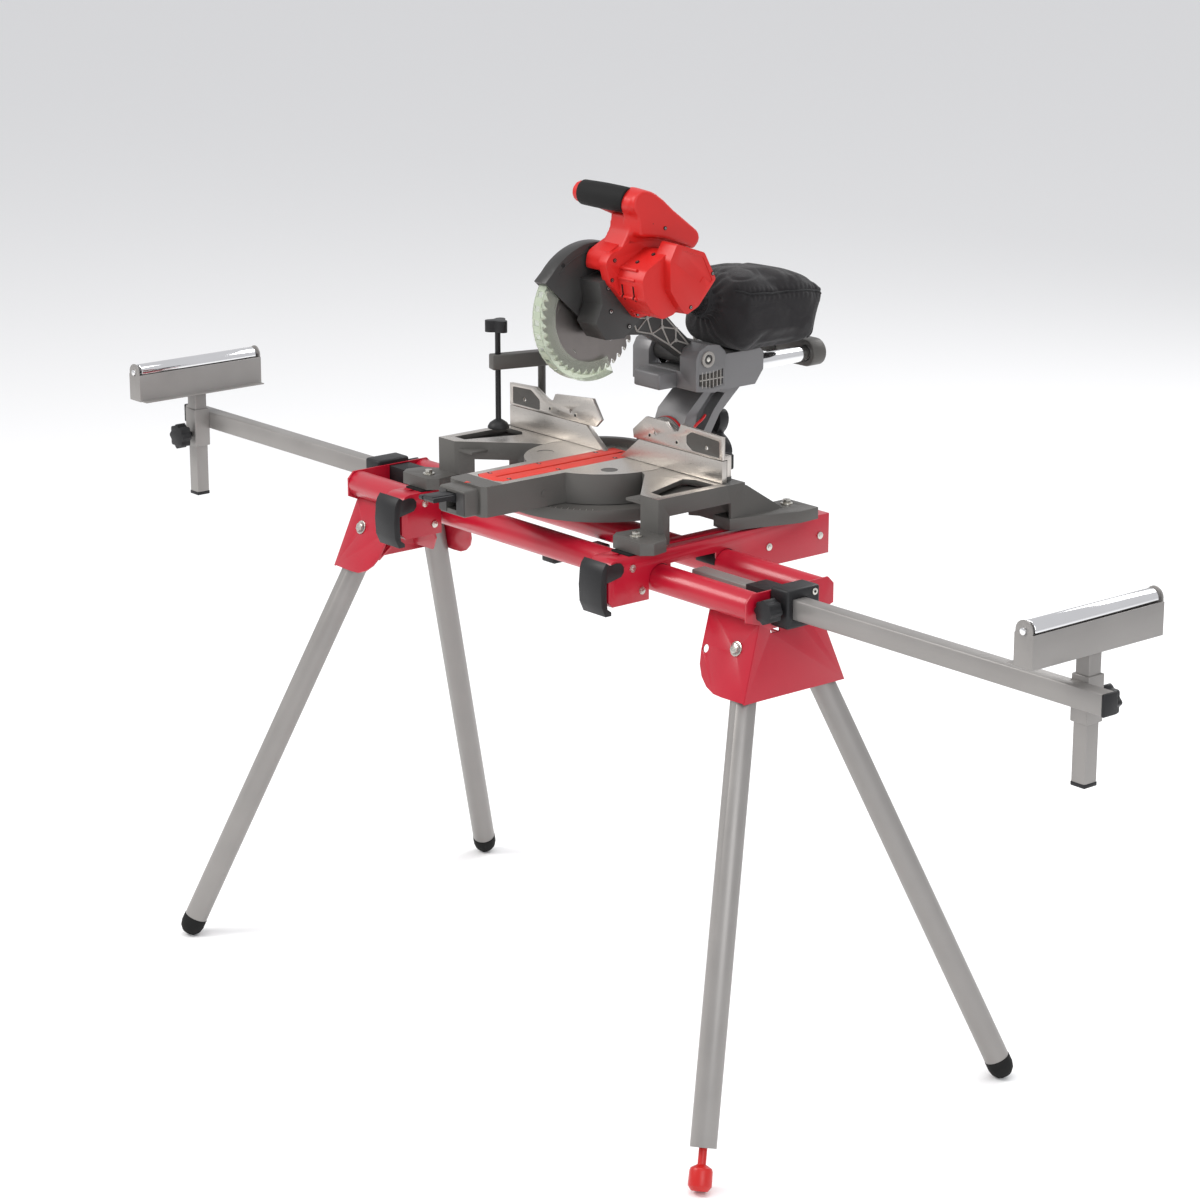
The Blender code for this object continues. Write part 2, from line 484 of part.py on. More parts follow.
# recess for the kerf plate and the blade slot, lever slot in the front box
cut(tt, plate("c", [[(-0.0305, -0.2155), (-0.0305, 0.0500), (0.0305, 0.0500), (0.0305, -0.2155), (0.0180, -0.2235), (-0.0180, -0.2235)]], "xy", TABLE - 0.0045, TABLE + 0.01))
cut(tt, box("c", (-0.0230, -0.205, 0.0475), (0.0230, 0.046, TABLE + 0.01)))
cut(tt, box("c", (-0.0125, -0.30, 0.0340), (0.0125, -0.245, 0.0600)))
cut(tt, rod("c", (0, 0.0985, TABLE), (0, 0.15, TABLE), 0.0085, 14))
cut(tt, box("c", (-0.125, 0.0212, TABLE - 0.0006), (0.125, 0.0960, TABLE + 0.003)))
saw(paint(tt, "machined"))

kp = plate("kerf_plate", [[(-0.0300, -0.2150), (-0.0300, 0.0495), (0.0300, 0.0495), (0.0300, -0.2150), (0.0175, -0.2230), (-0.0175, -0.2230)],
                          [(-0.0068, -0.202), (0.0068, -0.202), (0.0068, 0.042), (-0.0068, 0.042)]], "xy", TABLE - 0.0042, TABLE + 0.0002, "kerf_red")
saw(kp)

# --- mitre lever: a thumb lever that pivots in the front box
ml = plate("mitre_lock_lever", [[(-0.258, 0.0500), (-0.258, 0.0420), (-0.272, 0.0400), (-0.300, 0.0500), (-0.331, 0.0520), (-0.335, 0.0570), (-0.331, 0.0610), (-0.292, 0.0600), (-0.272, 0.0535)]], "yz", -0.0112, 0.0112, "black_plastic", 0.001)
join(ml, rod("c", (-0.0112, -0.266, 0.0460), (0.0112, -0.266, 0.0460), 0.0062, 14))
for e in (-1, 1):
    join(ml, plate("c", [[(-0.296, 0.0525), (-0.334, 0.0535), (-0.336, 0.0570), (-0.334, 0.0600), (-0.296, 0.0590)]], "yz", e * 0.0100, e * 0.0175))
saw(paint(ml, "black_plastic"))

# --- fixed fence: two low walls joined by a bridge behind the turntable
ff = None
for s in (-1, 1):
    pr = [(0.020, TABLE + 0.0005), (0.251, TABLE + 0.0005), (0.251, TABLE + 0.034), (0.062, TABLE + 0.034)]
    w = plate("c", [pr if s > 0 else mirror_x(pr)], "xz", 0.022, 0.031)
    bk = box("c", (min(s * 0.125, s * 0.245), 0.030, TABLE + 0.0005), (max(s * 0.125, s * 0.245), 0.046, TABLE + 0.008))
    join(w, bk)
    lug = box("c", (min(s * 0.050, s * 0.095), 0.0300, TABLE + 0.0005), (max(s * 0.050, s * 0.095), 0.0400, TABLE + 0.012))
    join(w, lug)
    if ff is None:
        ff = w
        ff.name = "fixed_fence"
    else:
        right = w
arc = [(0.083 * math.cos(a), 0.083 * math.sin(a)) for a in [math.radians(20 + 140 * i / 16) for i in range(17)]]
arc += [(0.071 * math.cos(a), 0.071 * math.sin(a)) for a in [math.radians(160 - 140 * i / 16) for i in range(17)]]
bridge = plate("c", [arc], "xy", TABLE + 0.0005, TABLE + 0.012)
join(ff, bridge, right)
saw(paint(ff, "machined"))

# --- sliding fences
for side, s in (("left", -1), ("right", 1)):
    if s > 0:
        o1 = [(0.251, 0.1050), (0.0500, 0.1050), (0.0480, 0.1180), (0.0780, 0.1420), (0.124, 0.1420), (0.131, 0.1350), (0.141, 0.1300), (0.152, 0.1320), (0.158, 0.1440), (0.251, 0.1400)]
        o1 = list(reversed(o1))
    else:
        o1 = [(-0.251, 0.1050), (-0.251, 0.1400), (-0.186, 0.1430), (-0.158, 0.1290), (-0.150, 0.1270), (-0.143, 0.1300), (-0.138, 0.1400), (-0.047, 0.1480), (-0.026, 0.1180), (-0.0400, 0.1050)]
    sf = plate(f"{side}_sliding_fence", [o1], "xz", 0.022, 0.0275, "machined")
    # foot that runs behind the fixed fence
    join(sf, box("c", (min(s * 0.160, s * 0.251), 0.0262, 0.1050), (max(s * 0.160, s * 0.251), 0.0400, 0.1110)))
    join(sf, box("c", (min(s * 0.165, s * 0.251), 0.0318, 0.0790), (max(s * 0.165, s * 0.251), 0.0400, 0.1080)))
    for hx in (0.100, 0.215):
        cut(sf, rod("c", (s * hx, 0.01, 0.118 if hx > 0.15 else 0.120), (s * hx, 0.0310, 0.118 if hx > 0.15 else 0.120), 0.0032, 12))
    saw(paint(sf, "machined"))

# knob that locks the right sliding fence
fk = rod("fence_lock_knob", (0.215, 0.0404, 0.092), (0.215, 0.0600, 0.092), 0.0045, 12, "black_plastic")
join(fk, box("c", (0.205, 0.0580, 0.080), (0.225, 0.0700, 0.104), None, 0.003))
saw(paint(fk, "black_plastic"))

# --- bevel arm: hub, leaning column and bearing head for the rails
ba = rod("bevel_arm", (0, 0.1290, TABLE), (0, 0.1600, TABLE), 0.0420, 26, "cast_grey")
col_p = [(0.150, 0.050), (0.178, 0.052), (0.192, 0.080), (0.212, 0.112), (0.240, 0.137), (0.265, 0.158), (0.278, 0.178), (0.278, 0.2040), (0.272, 0.2110), (0.196, 0.2110), (0.1915, 0.2050), (0.1915, 0.168), (0.178, 0.150), (0.1440, 0.120), (0.1300, 0.085)]
colm = plate("c", [col_p], "yz", -0.034, 0.034)
join(ba, colm)
head_b = plate("c", [[(0.1915, 0.1560), (0.262, 0.1560), (0.279, 0.1780), (0.279, 0.2050), (0.272, 0.2115), (0.1950, 0.2115), (0.1915, 0.2080)]], "yz", -0.060, 0.060)
join(ba, head_b)
for s in (-1, 1):
    cut(ba, rod("c", (s * 0.040, 0.15, 0.185), (s * 0.040, 0.30, 0.185), 0.0128, 20))
    # side pockets thin the column
    cut(ba, plate("c", [[(0.158, 0.085), (0.176, 0.085), (0.200, 0.120), (0.222, 0.143), (0.196, 0.150), (0.165, 0.118)]], "yz", min(s * 0.014, s * 0.040), max(s * 0.014, s * 0.040)))
join(ba, rod("c", (0, 0.1055, TABLE), (0, 0.135, TABLE), 0.0078, 14))
cut(ba, rod("c", (0, 0.150, TABLE), (0, 0.30, TABLE), 0.0062, 12))
saw(paint(ba, "cast_grey"))

# bevel lock: three-lobed hand nut at the back of the arm
lobes = []
for i in range(36):
    a = 2 * math.pi * i / 36
    lobes.append(((0.0270 + 0.0160 * math.cos(3 * a)) * math.sin(a + 0.35), TABLE + (0.0270 + 0.0160 * math.cos(3 * a)) * math.cos(a + 0.35)))
bk = plate("bevel_lock_knob", [lobes], "xz", 0.2240, 0.2420, "black_plastic")
join(bk, rod("c", (0, 0.1520, TABLE), (0, 0.230, TABLE), 0.0055, 12), rod("c", (0, 0.2000, TABLE), (0, 0.2260, TABLE), 0.013, 14))
saw(paint(bk, "black_plastic"))

# --- rails, carriage block and end cap
for side, s in (("left", -1), ("right", 1)):
    rl = rod(f"{side}_slide_rail", (s * 0.040, 0.1450, 0.185), (s * 0.040, 0.4000, 0.185), 0.0125, 24, "chrome")
    saw(rl)
ec = plate("rail_end_cap", [circle(0.040, 0.185, 0.0215, 12, -math.pi / 2, math.pi / 2) + circle(-0.040, 0.185, 0.0215, 12, math.pi / 2, 3 * math.pi / 2)], "xz", 0.386, 0.414, "cast_grey", 0.002)
for s in (-1, 1):
    cut(ec, rod("c", (s * 0.040, 0.37, 0.185), (s * 0.040, 0.4004, 0.185), 0.0128, 24))
saw(paint(ec, "cast_grey"))

cb_p = [(0.1265, 0.1640), (0.1650, 0.1580), (0.1880, 0.1640), (0.1890, 0.2090), (0.1860, 0.2200), (0.1740, 0.2310), (0.1500, 0.2340), (0.1330, 0.2260), (0.1265, 0.2140)]
cb = plate("carriage_block", [cb_p], "yz", -0.074, 0.074, "cast_grey")
for s in (-1, 1):
    cut(cb, rod("c", (s * 0.040, 0.1446, 0.185), (s * 0.040, 0.20, 0.185), 0.0128, 24))
# clevis gap for the pivot arm
cut(cb, box("c", (-0.0365, 0.115, 0.1905), (0.0365, 0.1700, 0.24)), box("c", (-0.0365, 0.100, 0.1905), (0.0365, 0.1700, 0.2300)))
cut(cb, rod("c", (-0.09, HEAD_PIVOT[0] - 0.006, HEAD_PIVOT[1]), (0.09, HEAD_PIVOT[0] - 0.006, HEAD_PIVOT[1]), 0.0066, 14))
# ribbed ends
for s in (-1, 1):
    cut(cb, plate("c", [[(0.133, 0.190), (0.133, 0.172), (0.160, 0.166), (0.182, 0.170), (0.182, 0.194), (0.160, 0.190)]], "yz", min(s * 0.062, s * 0.090), max(s * 0.062, s * 0.090)))
join(cb, box("c", (-0.030, 0.0900, 0.1640), (0.030, 0.1280, 0.1890), None, 0.003))
saw(paint(cb, "cast_grey"))

# --- head: pivot arm with gear case
HP = (HEAD_PIVOT[0] - 0.006, HEAD_PIVOT[1])
pa = plate("head_arm", [[(HP[0] + 0.012, HP[1] - 0.011), (HP[0] + 0.015, HP[1] + 0.004), (HP[0] + 0.006, HP[1] + 0.016), (0.118, 0.262), (0.090, 0.290), (0.050, 0.318), (0.005, 0.325), (-0.020, 0.318), (-0.038, 0.300), (-0.030, 0.278), (0.010, 0.262), (0.060, 0.256), (0.104, 0.232), (HP[0] - 0.0135, HP[1] - 0.003)]], "yz", 0.0125, 0.036, "cast_grey")
pa2 = plate("c", [circle(HP[0], HP[1], 0.0150, 16)], "yz", -0.0355, 0.0355)
gear = plate("c", [[(-0.058, 0.290), (-0.046, 0.318), (-0.052, 0.352), (-0.010, 0.362), (0.030, 0.330), (0.026, 0.286), (-0.004, 0.262), (-0.040, 0.264)]], "yz", 0.0121, 0.058)
join(pa, pa2, gear)
join(pa, rod("c", (-0.0730, HP[0], HP[1]), (0.0730, HP[0], HP[1]), 0.0062, 14))
cut(pa, rod("c", (0.0, BLADE_C[0], BLADE_C[1]), (0.050, BLADE_C[0], BLADE_C[1]), 0.0094, 16))
saw(paint(pa, "cast_grey"))

# --- upper blade guard: a drum segment open below, over the top of the blade
GC = BLADE_C


def sector(r, a0, a1, n):
    return [(GC[0] + r * math.cos(math.radians(a0 + (a1 - a0) * i / (n - 1))), GC[1] + r * math.sin(math.radians(a0 + (a1 - a0) * i / (n - 1)))) for i in range(n)]


ug_out = sector(0.1085, 15, 140, 16) + [(-0.118, 0.352), (-0.060, 0.300), (-0.030, 0.275), (0.040, 0.275)]
ug = plate("upper_blade_guard", [ug_out], "yz", -0.0150, 0.0118, "cast_grey")
ug_in = sector(0.1045, 8, 150, 16) + [(-0.140, 0.345), (-0.062, 0.290), (-0.030, 0.262), (0.060, 0.262)]
cut(ug, plate("c", [ug_in], "yz", -0.0120, 0.0088))
cut(ug, rod("c", (-0.02, BLADE_C[0], BLADE_C[1]), (0.02, BLADE_C[0], BLADE_C[1]), 0.0330, 20))
saw(paint(ug, "cast_grey"))

# --- motor housing: shell over the motor, split from the handle
mh_p = [(-0.046, 0.3670), (-0.043, 0.3930), (-0.004, 0.4120), (0.040, 0.4120), (0.092, 0.3960), (0.118, 0.3600), (0.100, 0.3280), (0.060, 0.3300), (0.0340, 0.3340), (-0.010, 0.3660)]
mh = plate("motor_housing", [mh_p], "yz", 0.0180, 0.074, "red_plastic", 0.002)
mb = plate("c", [[(-0.050, 0.3660), (0.035, 0.3920), (0.062, 0.3400), (0.0300, 0.3040), (-0.0080, 0.2950)]], "yz", 0.0590, 0.112, None, 0.008)
lb = plate("c", [[(0.012, 0.3900), (0.045, 0.4100), (0.088, 0.3940), (0.108, 0.3500), (0.072, 0.3120), (0.048, 0.3020), (0.014, 0.3300)]], "yz", 0.0600, 0.140, None, 0.006)
join(mh, mb, lb)
# hollow for the motor, open to the gear case side
cut(mh, rod("c", (0.0450, 0.028, 0.3480), (0.1240, 0.028, 0.3480), 0.0270, 20))
saw(paint(mh, "red_plastic"))

mo = rod("motor", (0.0590, 0.028, 0.3480), (0.1235, 0.028, 0.3480), 0.0262, 20, "steel")
saw(mo)

# --- handle: D-shaped loop, split shell
th = math.radians(-29)      # the loop's plane, with the head up, falls towards the back


def hpt(x, u, w=0.0):
    """A point of the handle loop: x across, u back along the loop's plane from the grip, w above the plane."""
    return (x, 0.030 + u * math.cos(th) - w * math.sin(th), 0.470 + u * math.sin(th) + w * math.cos(th))


def slab(name, pts, w0, w1, mat=None, bevel=0.0):
    """An outline in the loop's plane (x, u), between two heights above it."""
    o = plate(name, [pts] if not isinstance(pts[0], list) else pts, "xy", w0, w1, mat, bevel)
    m = Matrix(((1, 0, 0, 0), (0, math.cos(th), -math.sin(th), 0.030), (0, math.sin(th), math.cos(th), 0.470), (0, 0, 0, 1)))
    o.data.transform(m)
    return o


loop_o = [(-0.052, -0.012), (-0.044, -0.0205), (0.068, -0.0205), (0.078, -0.010), (0.090, 0.040), (0.098, 0.100), (0.092, 0.132), (0.010, 0.132), (-0.022, 0.110), (-0.048, 0.050)]
loop_i = [(-0.034, 0.0195), (0.055, 0.0195), (0.064, 0.040), (0.066, 0.062), (0.000, 0.080), (-0.026, 0.050)]
hh = slab("handle_housing", [loop_o, loop_i], -0.0150, 0.0150, "red_plastic", 0.004)
stem = plate("c", [[(0.060, 0.4300), (0.130, 0.4000), (0.112, 0.3700), (0.0950, 0.3990), (0.0440, 0.4160), (0.0060, 0.4160), (0.020, 0.4360)]], "yz", 0.0200, 0.074, None, 0.0)
join(hh, stem)
# seat for the rubber grip and the trigger
cut(hh, slab("c", [(-0.0380, -0.030), (0.0600, -0.030), (0.0600, 0.0130), (-0.0380, 0.0130)], 0.0040, 0.030))
cut(hh, slab("c", [(-0.0380, -0.030), (0.0600, -0.030), (0.0600, -0.0125), (-0.0380, -0.0125)], -0.030, 0.030))
cut(hh, slab("c", [(-0.0100, -0.002), (0.0320, -0.002), (0.0320, 0.030), (-0.0100, 0.030)], -0.0080, 0.0010))
saw(paint(hh, "red_plastic"))

gr = slab("handle_grip", [(-0.0376, -0.0220), (0.0596, -0.0220), (0.0596, 0.0126), (-0.0376, 0.0126)], 0.0043, 0.0180, "rubber", 0.0035)
join(gr, slab("c", [(-0.0376, -0.0220), (0.0596, -0.0220), (0.0596, -0.0128), (-0.0376, -0.0128)], -0.0145, 0.0100))
saw(paint(gr, "rubber"))
tr = slab("trigger", [(-0.0092, 0.0030), (0.0312, 0.0030), (0.0312, 0.0270), (0.0260, 0.0285), (-0.0040, 0.0285), (-0.0092, 0.0270)], -0.0073, 0.0003, "black_plastic")
saw(tr)

# --- blade with its teeth, flange and arbor
teeth = 24
bl_p = []
for i in range(teeth):
    a = 2 * math.pi * i / teeth
    da = 2 * math.pi / teeth
    for f, r in ((0.0, 0.0885), (0.30, 0.0885), (0.62, BLADE_R), (0.86, BLADE_R - 0.0012)):
        bl_p.append((GC[0] + r * math.cos(a + f * da), GC[1] + r * math.sin(a + f * da)))
bl = plate("blade", [bl_p, circle(GC[0], GC[1], 0.0080, 16)], "yz", -0.0009, 0.0009, "steel")
saw(bl)
ar = rod("arbor", (-0.0095, GC[0], GC[1]), (0.0565, GC[0], GC[1]), 0.0077, 16, "steel")
join(ar, rod("c", (-0.0085, GC[0], GC[1]), (-0.0014, GC[0], GC[1]), 0.0180, 20), rod("c", (0.0014, GC[0], GC[1]), (0.0085, GC[0], GC[1]), 0.0180, 20), rod("c", (-0.0145, GC[0], GC[1]), (-0.0080, GC[0], GC[1]), 0.0098, 6))
cut(pa, rod("c", (0.010, GC[0], GC[1]), (0.0575, GC[0], GC[1]), 0.0083, 16))
saw(paint(ar, "steel"))

# --- lower guard: a clear half shell that swings back round the arbor
GR = 0.1035
lg_o = sector(GR, 137, 292, 20) + [(GC[0] + 0.030 * math.cos(math.radians(285)), GC[1] + 0.030 * math.sin(math.radians(285)))] + sector(0.0300, 270, 160, 6) + [(GC[0] + 0.070 * math.cos(math.radians(146)), GC[1] + 0.070 * math.sin(math.radians(146)))]
lg = plate("lower_guard", [lg_o], "yz", -0.0112, 0.0066, "clear_guard")
cut(lg, plate("c", [sector(GR - 0.0020, 125, 304, 20) + [GC]], "yz", -0.0097, 0.0200))
cut(lg, rod("c", (-0.03, GC[0], GC[1]), (0.03, GC[0], GC[1]), 0.0195, 20))
ring = rod("c", (-0.0112, GC[0], GC[1]), (-0.0097, GC[0], GC[1]), 0.0310, 20)
cut(ring, rod("c", (-0.03, GC[0], GC[1]), (0.03, GC[0], GC[1]), 0.0195, 20))
join(lg, ring)
saw(paint(lg, "clear_guard"))

# --- dust port and bag
dp = lathe("dust_port", [(0, 0.040), (0.0185, 0.040), (0.0185, 0.006), (0.0215, 0.004), (0.0215, -0.010), (0, -0.010)], (0.030, 0.1300, 0.3020), (0, 1, -0.16), 20, "black_plastic")
duct = plate("c", [[(0.036, 0.3260), (0.085, 0.3240), (0.128, 0.3180), (0.126, 0.2900), (0.112, 0.2880), (0.086, 0.3010), (0.040, 0.3240)]], "yz", 0.0370, 0.0560)
join(dp, duct)
saw(paint(dp, "black_plastic"))
bag_p = [(0.1800, 0.3300), (0.2100, 0.3400), (0.330, 0.3340), (0.378, 0.3050), (0.386, 0.2900), (0.366, 0.2220), (0.350, 0.2130), (0.200, 0.2140), (0.1790, 0.2380)]
bg = plate("dust_bag", [bag_p], "yz", -0.035, 0.098, "bag_cloth", 0.012)
cut(bg, rod("c", (0.030, 0.120, 0.3036), (0.030, 0.2000, 0.2908), 0.0190, 20))
saw(paint(bg, "bag_cloth"))

# --- work clamp: post in the base with a swinging arm, and the screw
CPX, CPY = -0.2050, 0.0500
CSX, CSY = -0.2250, -0.0220
ca = rod("clamp_arm", (CPX, CPY, TABLE + 0.0005), (CPX, CPY, 0.1960), 0.0062, 14, "cast_grey")
v = Vector((CSX - CPX, CSY - CPY, 0))
n = Vector((-v.y, v.x, 0)).normalized() * 0.0095
e1 = v.normalized() * 0.012
P0, P1 = Vector((CPX, CPY, 0)) - e1, Vector((CSX, CSY, 0)) + e1
ar_pts = [tuple((P0 + n)[:2]), tuple((P0 - n)[:2]), tuple((P1 - n)[:2]), tuple((P1 + n)[:2])]
join(ca, plate("c", [ar_pts], "xy", 0.1720, 0.1960, None, 0.002))
cut(ca, rod("c", (CSX, CSY, 0.16), (CSX, CSY, 0.21), 0.0048, 14))
saw(paint(ca, "cast_grey"))
cut(ff, rod("c", (CPX, CPY, 0.06), (CPX, CPY, 0.09), 0.0080, 14))
cs = rod("clamp_screw", (CSX, CSY, 0.0880), (CSX, CSY, 0.2400), 0.0044, 12, "black_plastic")
tri = []
for i in range(24):
    a = 2 * math.pi * i / 24
    tri.append((CSX + (0.0155 + 0.0045 * math.cos(3 * a)) * math.cos(a), CSY + (0.0155 + 0.0045 * math.cos(3 * a)) * math.sin(a)))
join(cs, plate("c", [tri], "xy", 0.2320, 0.2500), lathe("c", [(0, 0.0120), (0.0060, 0.0115), (0.0140, 0.0060), (0.0170, 0.0010), (0.0170, -0.0020), (0, -0.0020)], (CSX, CSY, 0.0800), (0, 0, 1), 18))
saw(paint(cs, "black_plastic"))

for o in SAW:
    move(o, (0, SY, SZ))
for o in list(COL.objects):
    move(o, (0, OY, 0))
    for p in o.data.polygons:
        p.use_smooth = True
    o.data.set_sharp_from_angle(angle=0.6)


# ================================================================ ORIGINS ON THE JOINTS' AXES
def origin(p, *names):
    """Puts these pieces' origins at p, a point on the axis of the joint that moves them."""
    for n in names:
        o = bpy.data.objects[n]
        move(o, -Vector(p))
        o.location = p


def at_saw(x, y, z):
    return Vector((x, y + SY + OY, z + SZ))


for side, sx in (("left", -1), ("right", 1)):
    for end, sy in (("front", -1), ("rear", 1)):
        pivot = Vector((sx * PIVOT_X, sy * PIVOT_YS[sx] + OY, PIVOT_Z))
        names = [f"{end}_{side}_leg", f"{end}_{side}_foot"]
        if (side, end) == ("right", "front"):
            tip = splay_matrix(sx, sy) @ (Vector((math.sin(LEAN), 0, -math.cos(LEAN))) * LEG_LEN)
            origin(tip + Vector((0, OY, 0)), names.pop())
        origin(pivot, *names)
    by = -sx * BAR_Y
    post_y = by + sx * (BAR_W / 2 + 0.0150)
    origin((sx * BAR_OUT, by + OY, BEAM_Z), f"{side}_extension_bar")
    origin((sx * SUPPORT_X, post_y + OY, BEAM_Z), f"{side}_support_post", f"{side}_roller_bracket")
    origin((sx * SUPPORT_X, post_y + OY, SZ + TABLE - ROLLER_R), f"{side}_roller")
    origin((sx * 0.4990, by - sx * 0.0235 + OY, BEAM_Z), f"{side}_bar_clamp_knob")
    origin((sx * SUPPORT_X, post_y + sx * 0.0152 + OY, 0.745), f"{side}_support_knob")
    origin((sx * ARM_X, PY + OY, PZ), f"{side}_arm_lever")
    origin(at_saw(sx * 0.205, 0.0245, 0.108), f"{side}_sliding_fence")
origin(at_saw(0, 0, 0), "left_mounting_arm", "right_mounting_arm", "saw_base", "fixed_fence", "turntable", "kerf_plate")
origin(at_saw(0.215, 0.050, 0.092), "fence_lock_knob")
origin(at_saw(CPX, CPY, TABLE), "clamp_arm")
origin(at_saw(CSX, CSY, 0.0800), "clamp_screw")
origin(at_saw(0, -0.266, 0.0460), "mitre_lock_lever")
origin(at_saw(0, BEVEL_Y, TABLE), "bevel_arm", "bevel_lock_knob")
origin(at_saw(0, 0.1450, 0.185), "left_slide_rail", "right_slide_rail", "carriage_block", "rail_end_cap")
origin(at_saw(0, HP[0], HP[1]), "head_arm", "upper_blade_guard", "motor_housing", "motor", "handle_housing", "handle_grip", "dust_port", "dust_bag")
origin(at_saw(0, GC[0], GC[1]), "blade", "arbor", "lower_guard")
origin(at_saw(*hpt(0.010, 0.0150)), "trigger")
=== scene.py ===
import bpy
import bmesh
import json
import math
import random
from mathutils import Vector, Matrix, noise

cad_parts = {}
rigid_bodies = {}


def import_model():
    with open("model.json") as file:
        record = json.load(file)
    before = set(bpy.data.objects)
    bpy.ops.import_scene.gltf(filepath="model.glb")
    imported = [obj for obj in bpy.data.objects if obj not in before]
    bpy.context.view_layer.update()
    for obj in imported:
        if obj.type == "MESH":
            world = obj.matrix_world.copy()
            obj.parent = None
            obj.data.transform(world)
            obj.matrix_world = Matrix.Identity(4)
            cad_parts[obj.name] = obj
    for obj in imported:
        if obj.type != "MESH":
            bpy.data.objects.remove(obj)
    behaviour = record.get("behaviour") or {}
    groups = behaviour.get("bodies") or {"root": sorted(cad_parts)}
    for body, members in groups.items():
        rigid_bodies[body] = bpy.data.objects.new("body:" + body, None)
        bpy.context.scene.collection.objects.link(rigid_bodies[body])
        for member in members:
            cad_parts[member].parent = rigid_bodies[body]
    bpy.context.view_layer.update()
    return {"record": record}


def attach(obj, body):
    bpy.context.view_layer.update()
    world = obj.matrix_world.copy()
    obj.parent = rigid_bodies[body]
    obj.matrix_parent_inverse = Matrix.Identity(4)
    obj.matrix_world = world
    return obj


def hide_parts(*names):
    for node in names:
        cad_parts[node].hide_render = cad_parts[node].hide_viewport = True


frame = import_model()
HI = 2.4            # how much finer round shapes are than in the CAD part

# ---------------------------------------------------------------- driving dimensions, as in the CAD part
OY = -0.0675          # moves the whole object so that its box is centred on the origin
BEAM_Z = 0.768        # height of the two beam tubes' axes
BEAM_R = 0.021
BEAM_Y = 0.064        # half the spacing of the beam tubes
BEAM_HALF = 0.4740    # half the length of the beam tubes
PIVOT_X = 0.446       # leg pivots
PIVOT_Z = 0.695
PIVOT_YS = {-1: 0.060, 1: 0.052}     # the right pair sits nearer the middle, so the pairs nest when folded
SPLAY = math.radians(20.3)    # legs lean out in Y
LEAN = math.radians(14.6)     # and out in X, measured in the splayed plane
LEG_R = 0.019
LEG_LEN = 0.7603       # pivot to the rubber foot's tip, along the leg
BAR_W = 0.026
BAR_H = 0.030
BAR_T = 0.002
BAR_Y = 0.018         # the two extension bars lie side by side
BAR_OUT = 1.095
BAR_IN = 0.300
POST = 0.024
SUPPORT_X = 1.030
ROLLER_R = 0.013
ROLLER_HALF = 0.118
ARM_X = 0.248         # mounting arms sit under the saw's bolt holes
ARM_TOP = 0.810
PAD = 0.003
SY = 0.050            # the saw's turntable centre, behind the beam's centre line
SZ = ARM_TOP + PAD + 0.0003
TABLE = 0.070         # saw table height over its feet
TURN_R = 0.118
BLADE_R = 0.095
BLADE_C = (-0.021, 0.295)     # y, z of the arbor with the head up
HEAD_PIVOT = (0.156, 0.212)
BEVEL_Y = 0.130

COL = bpy.data.collections.new("looks")
bpy.context.scene.collection.children.link(COL)
MATS = {}


# ---------------------------------------------------------------- materials
def nodes_of(m):
    return m.node_tree.nodes, m.node_tree.links


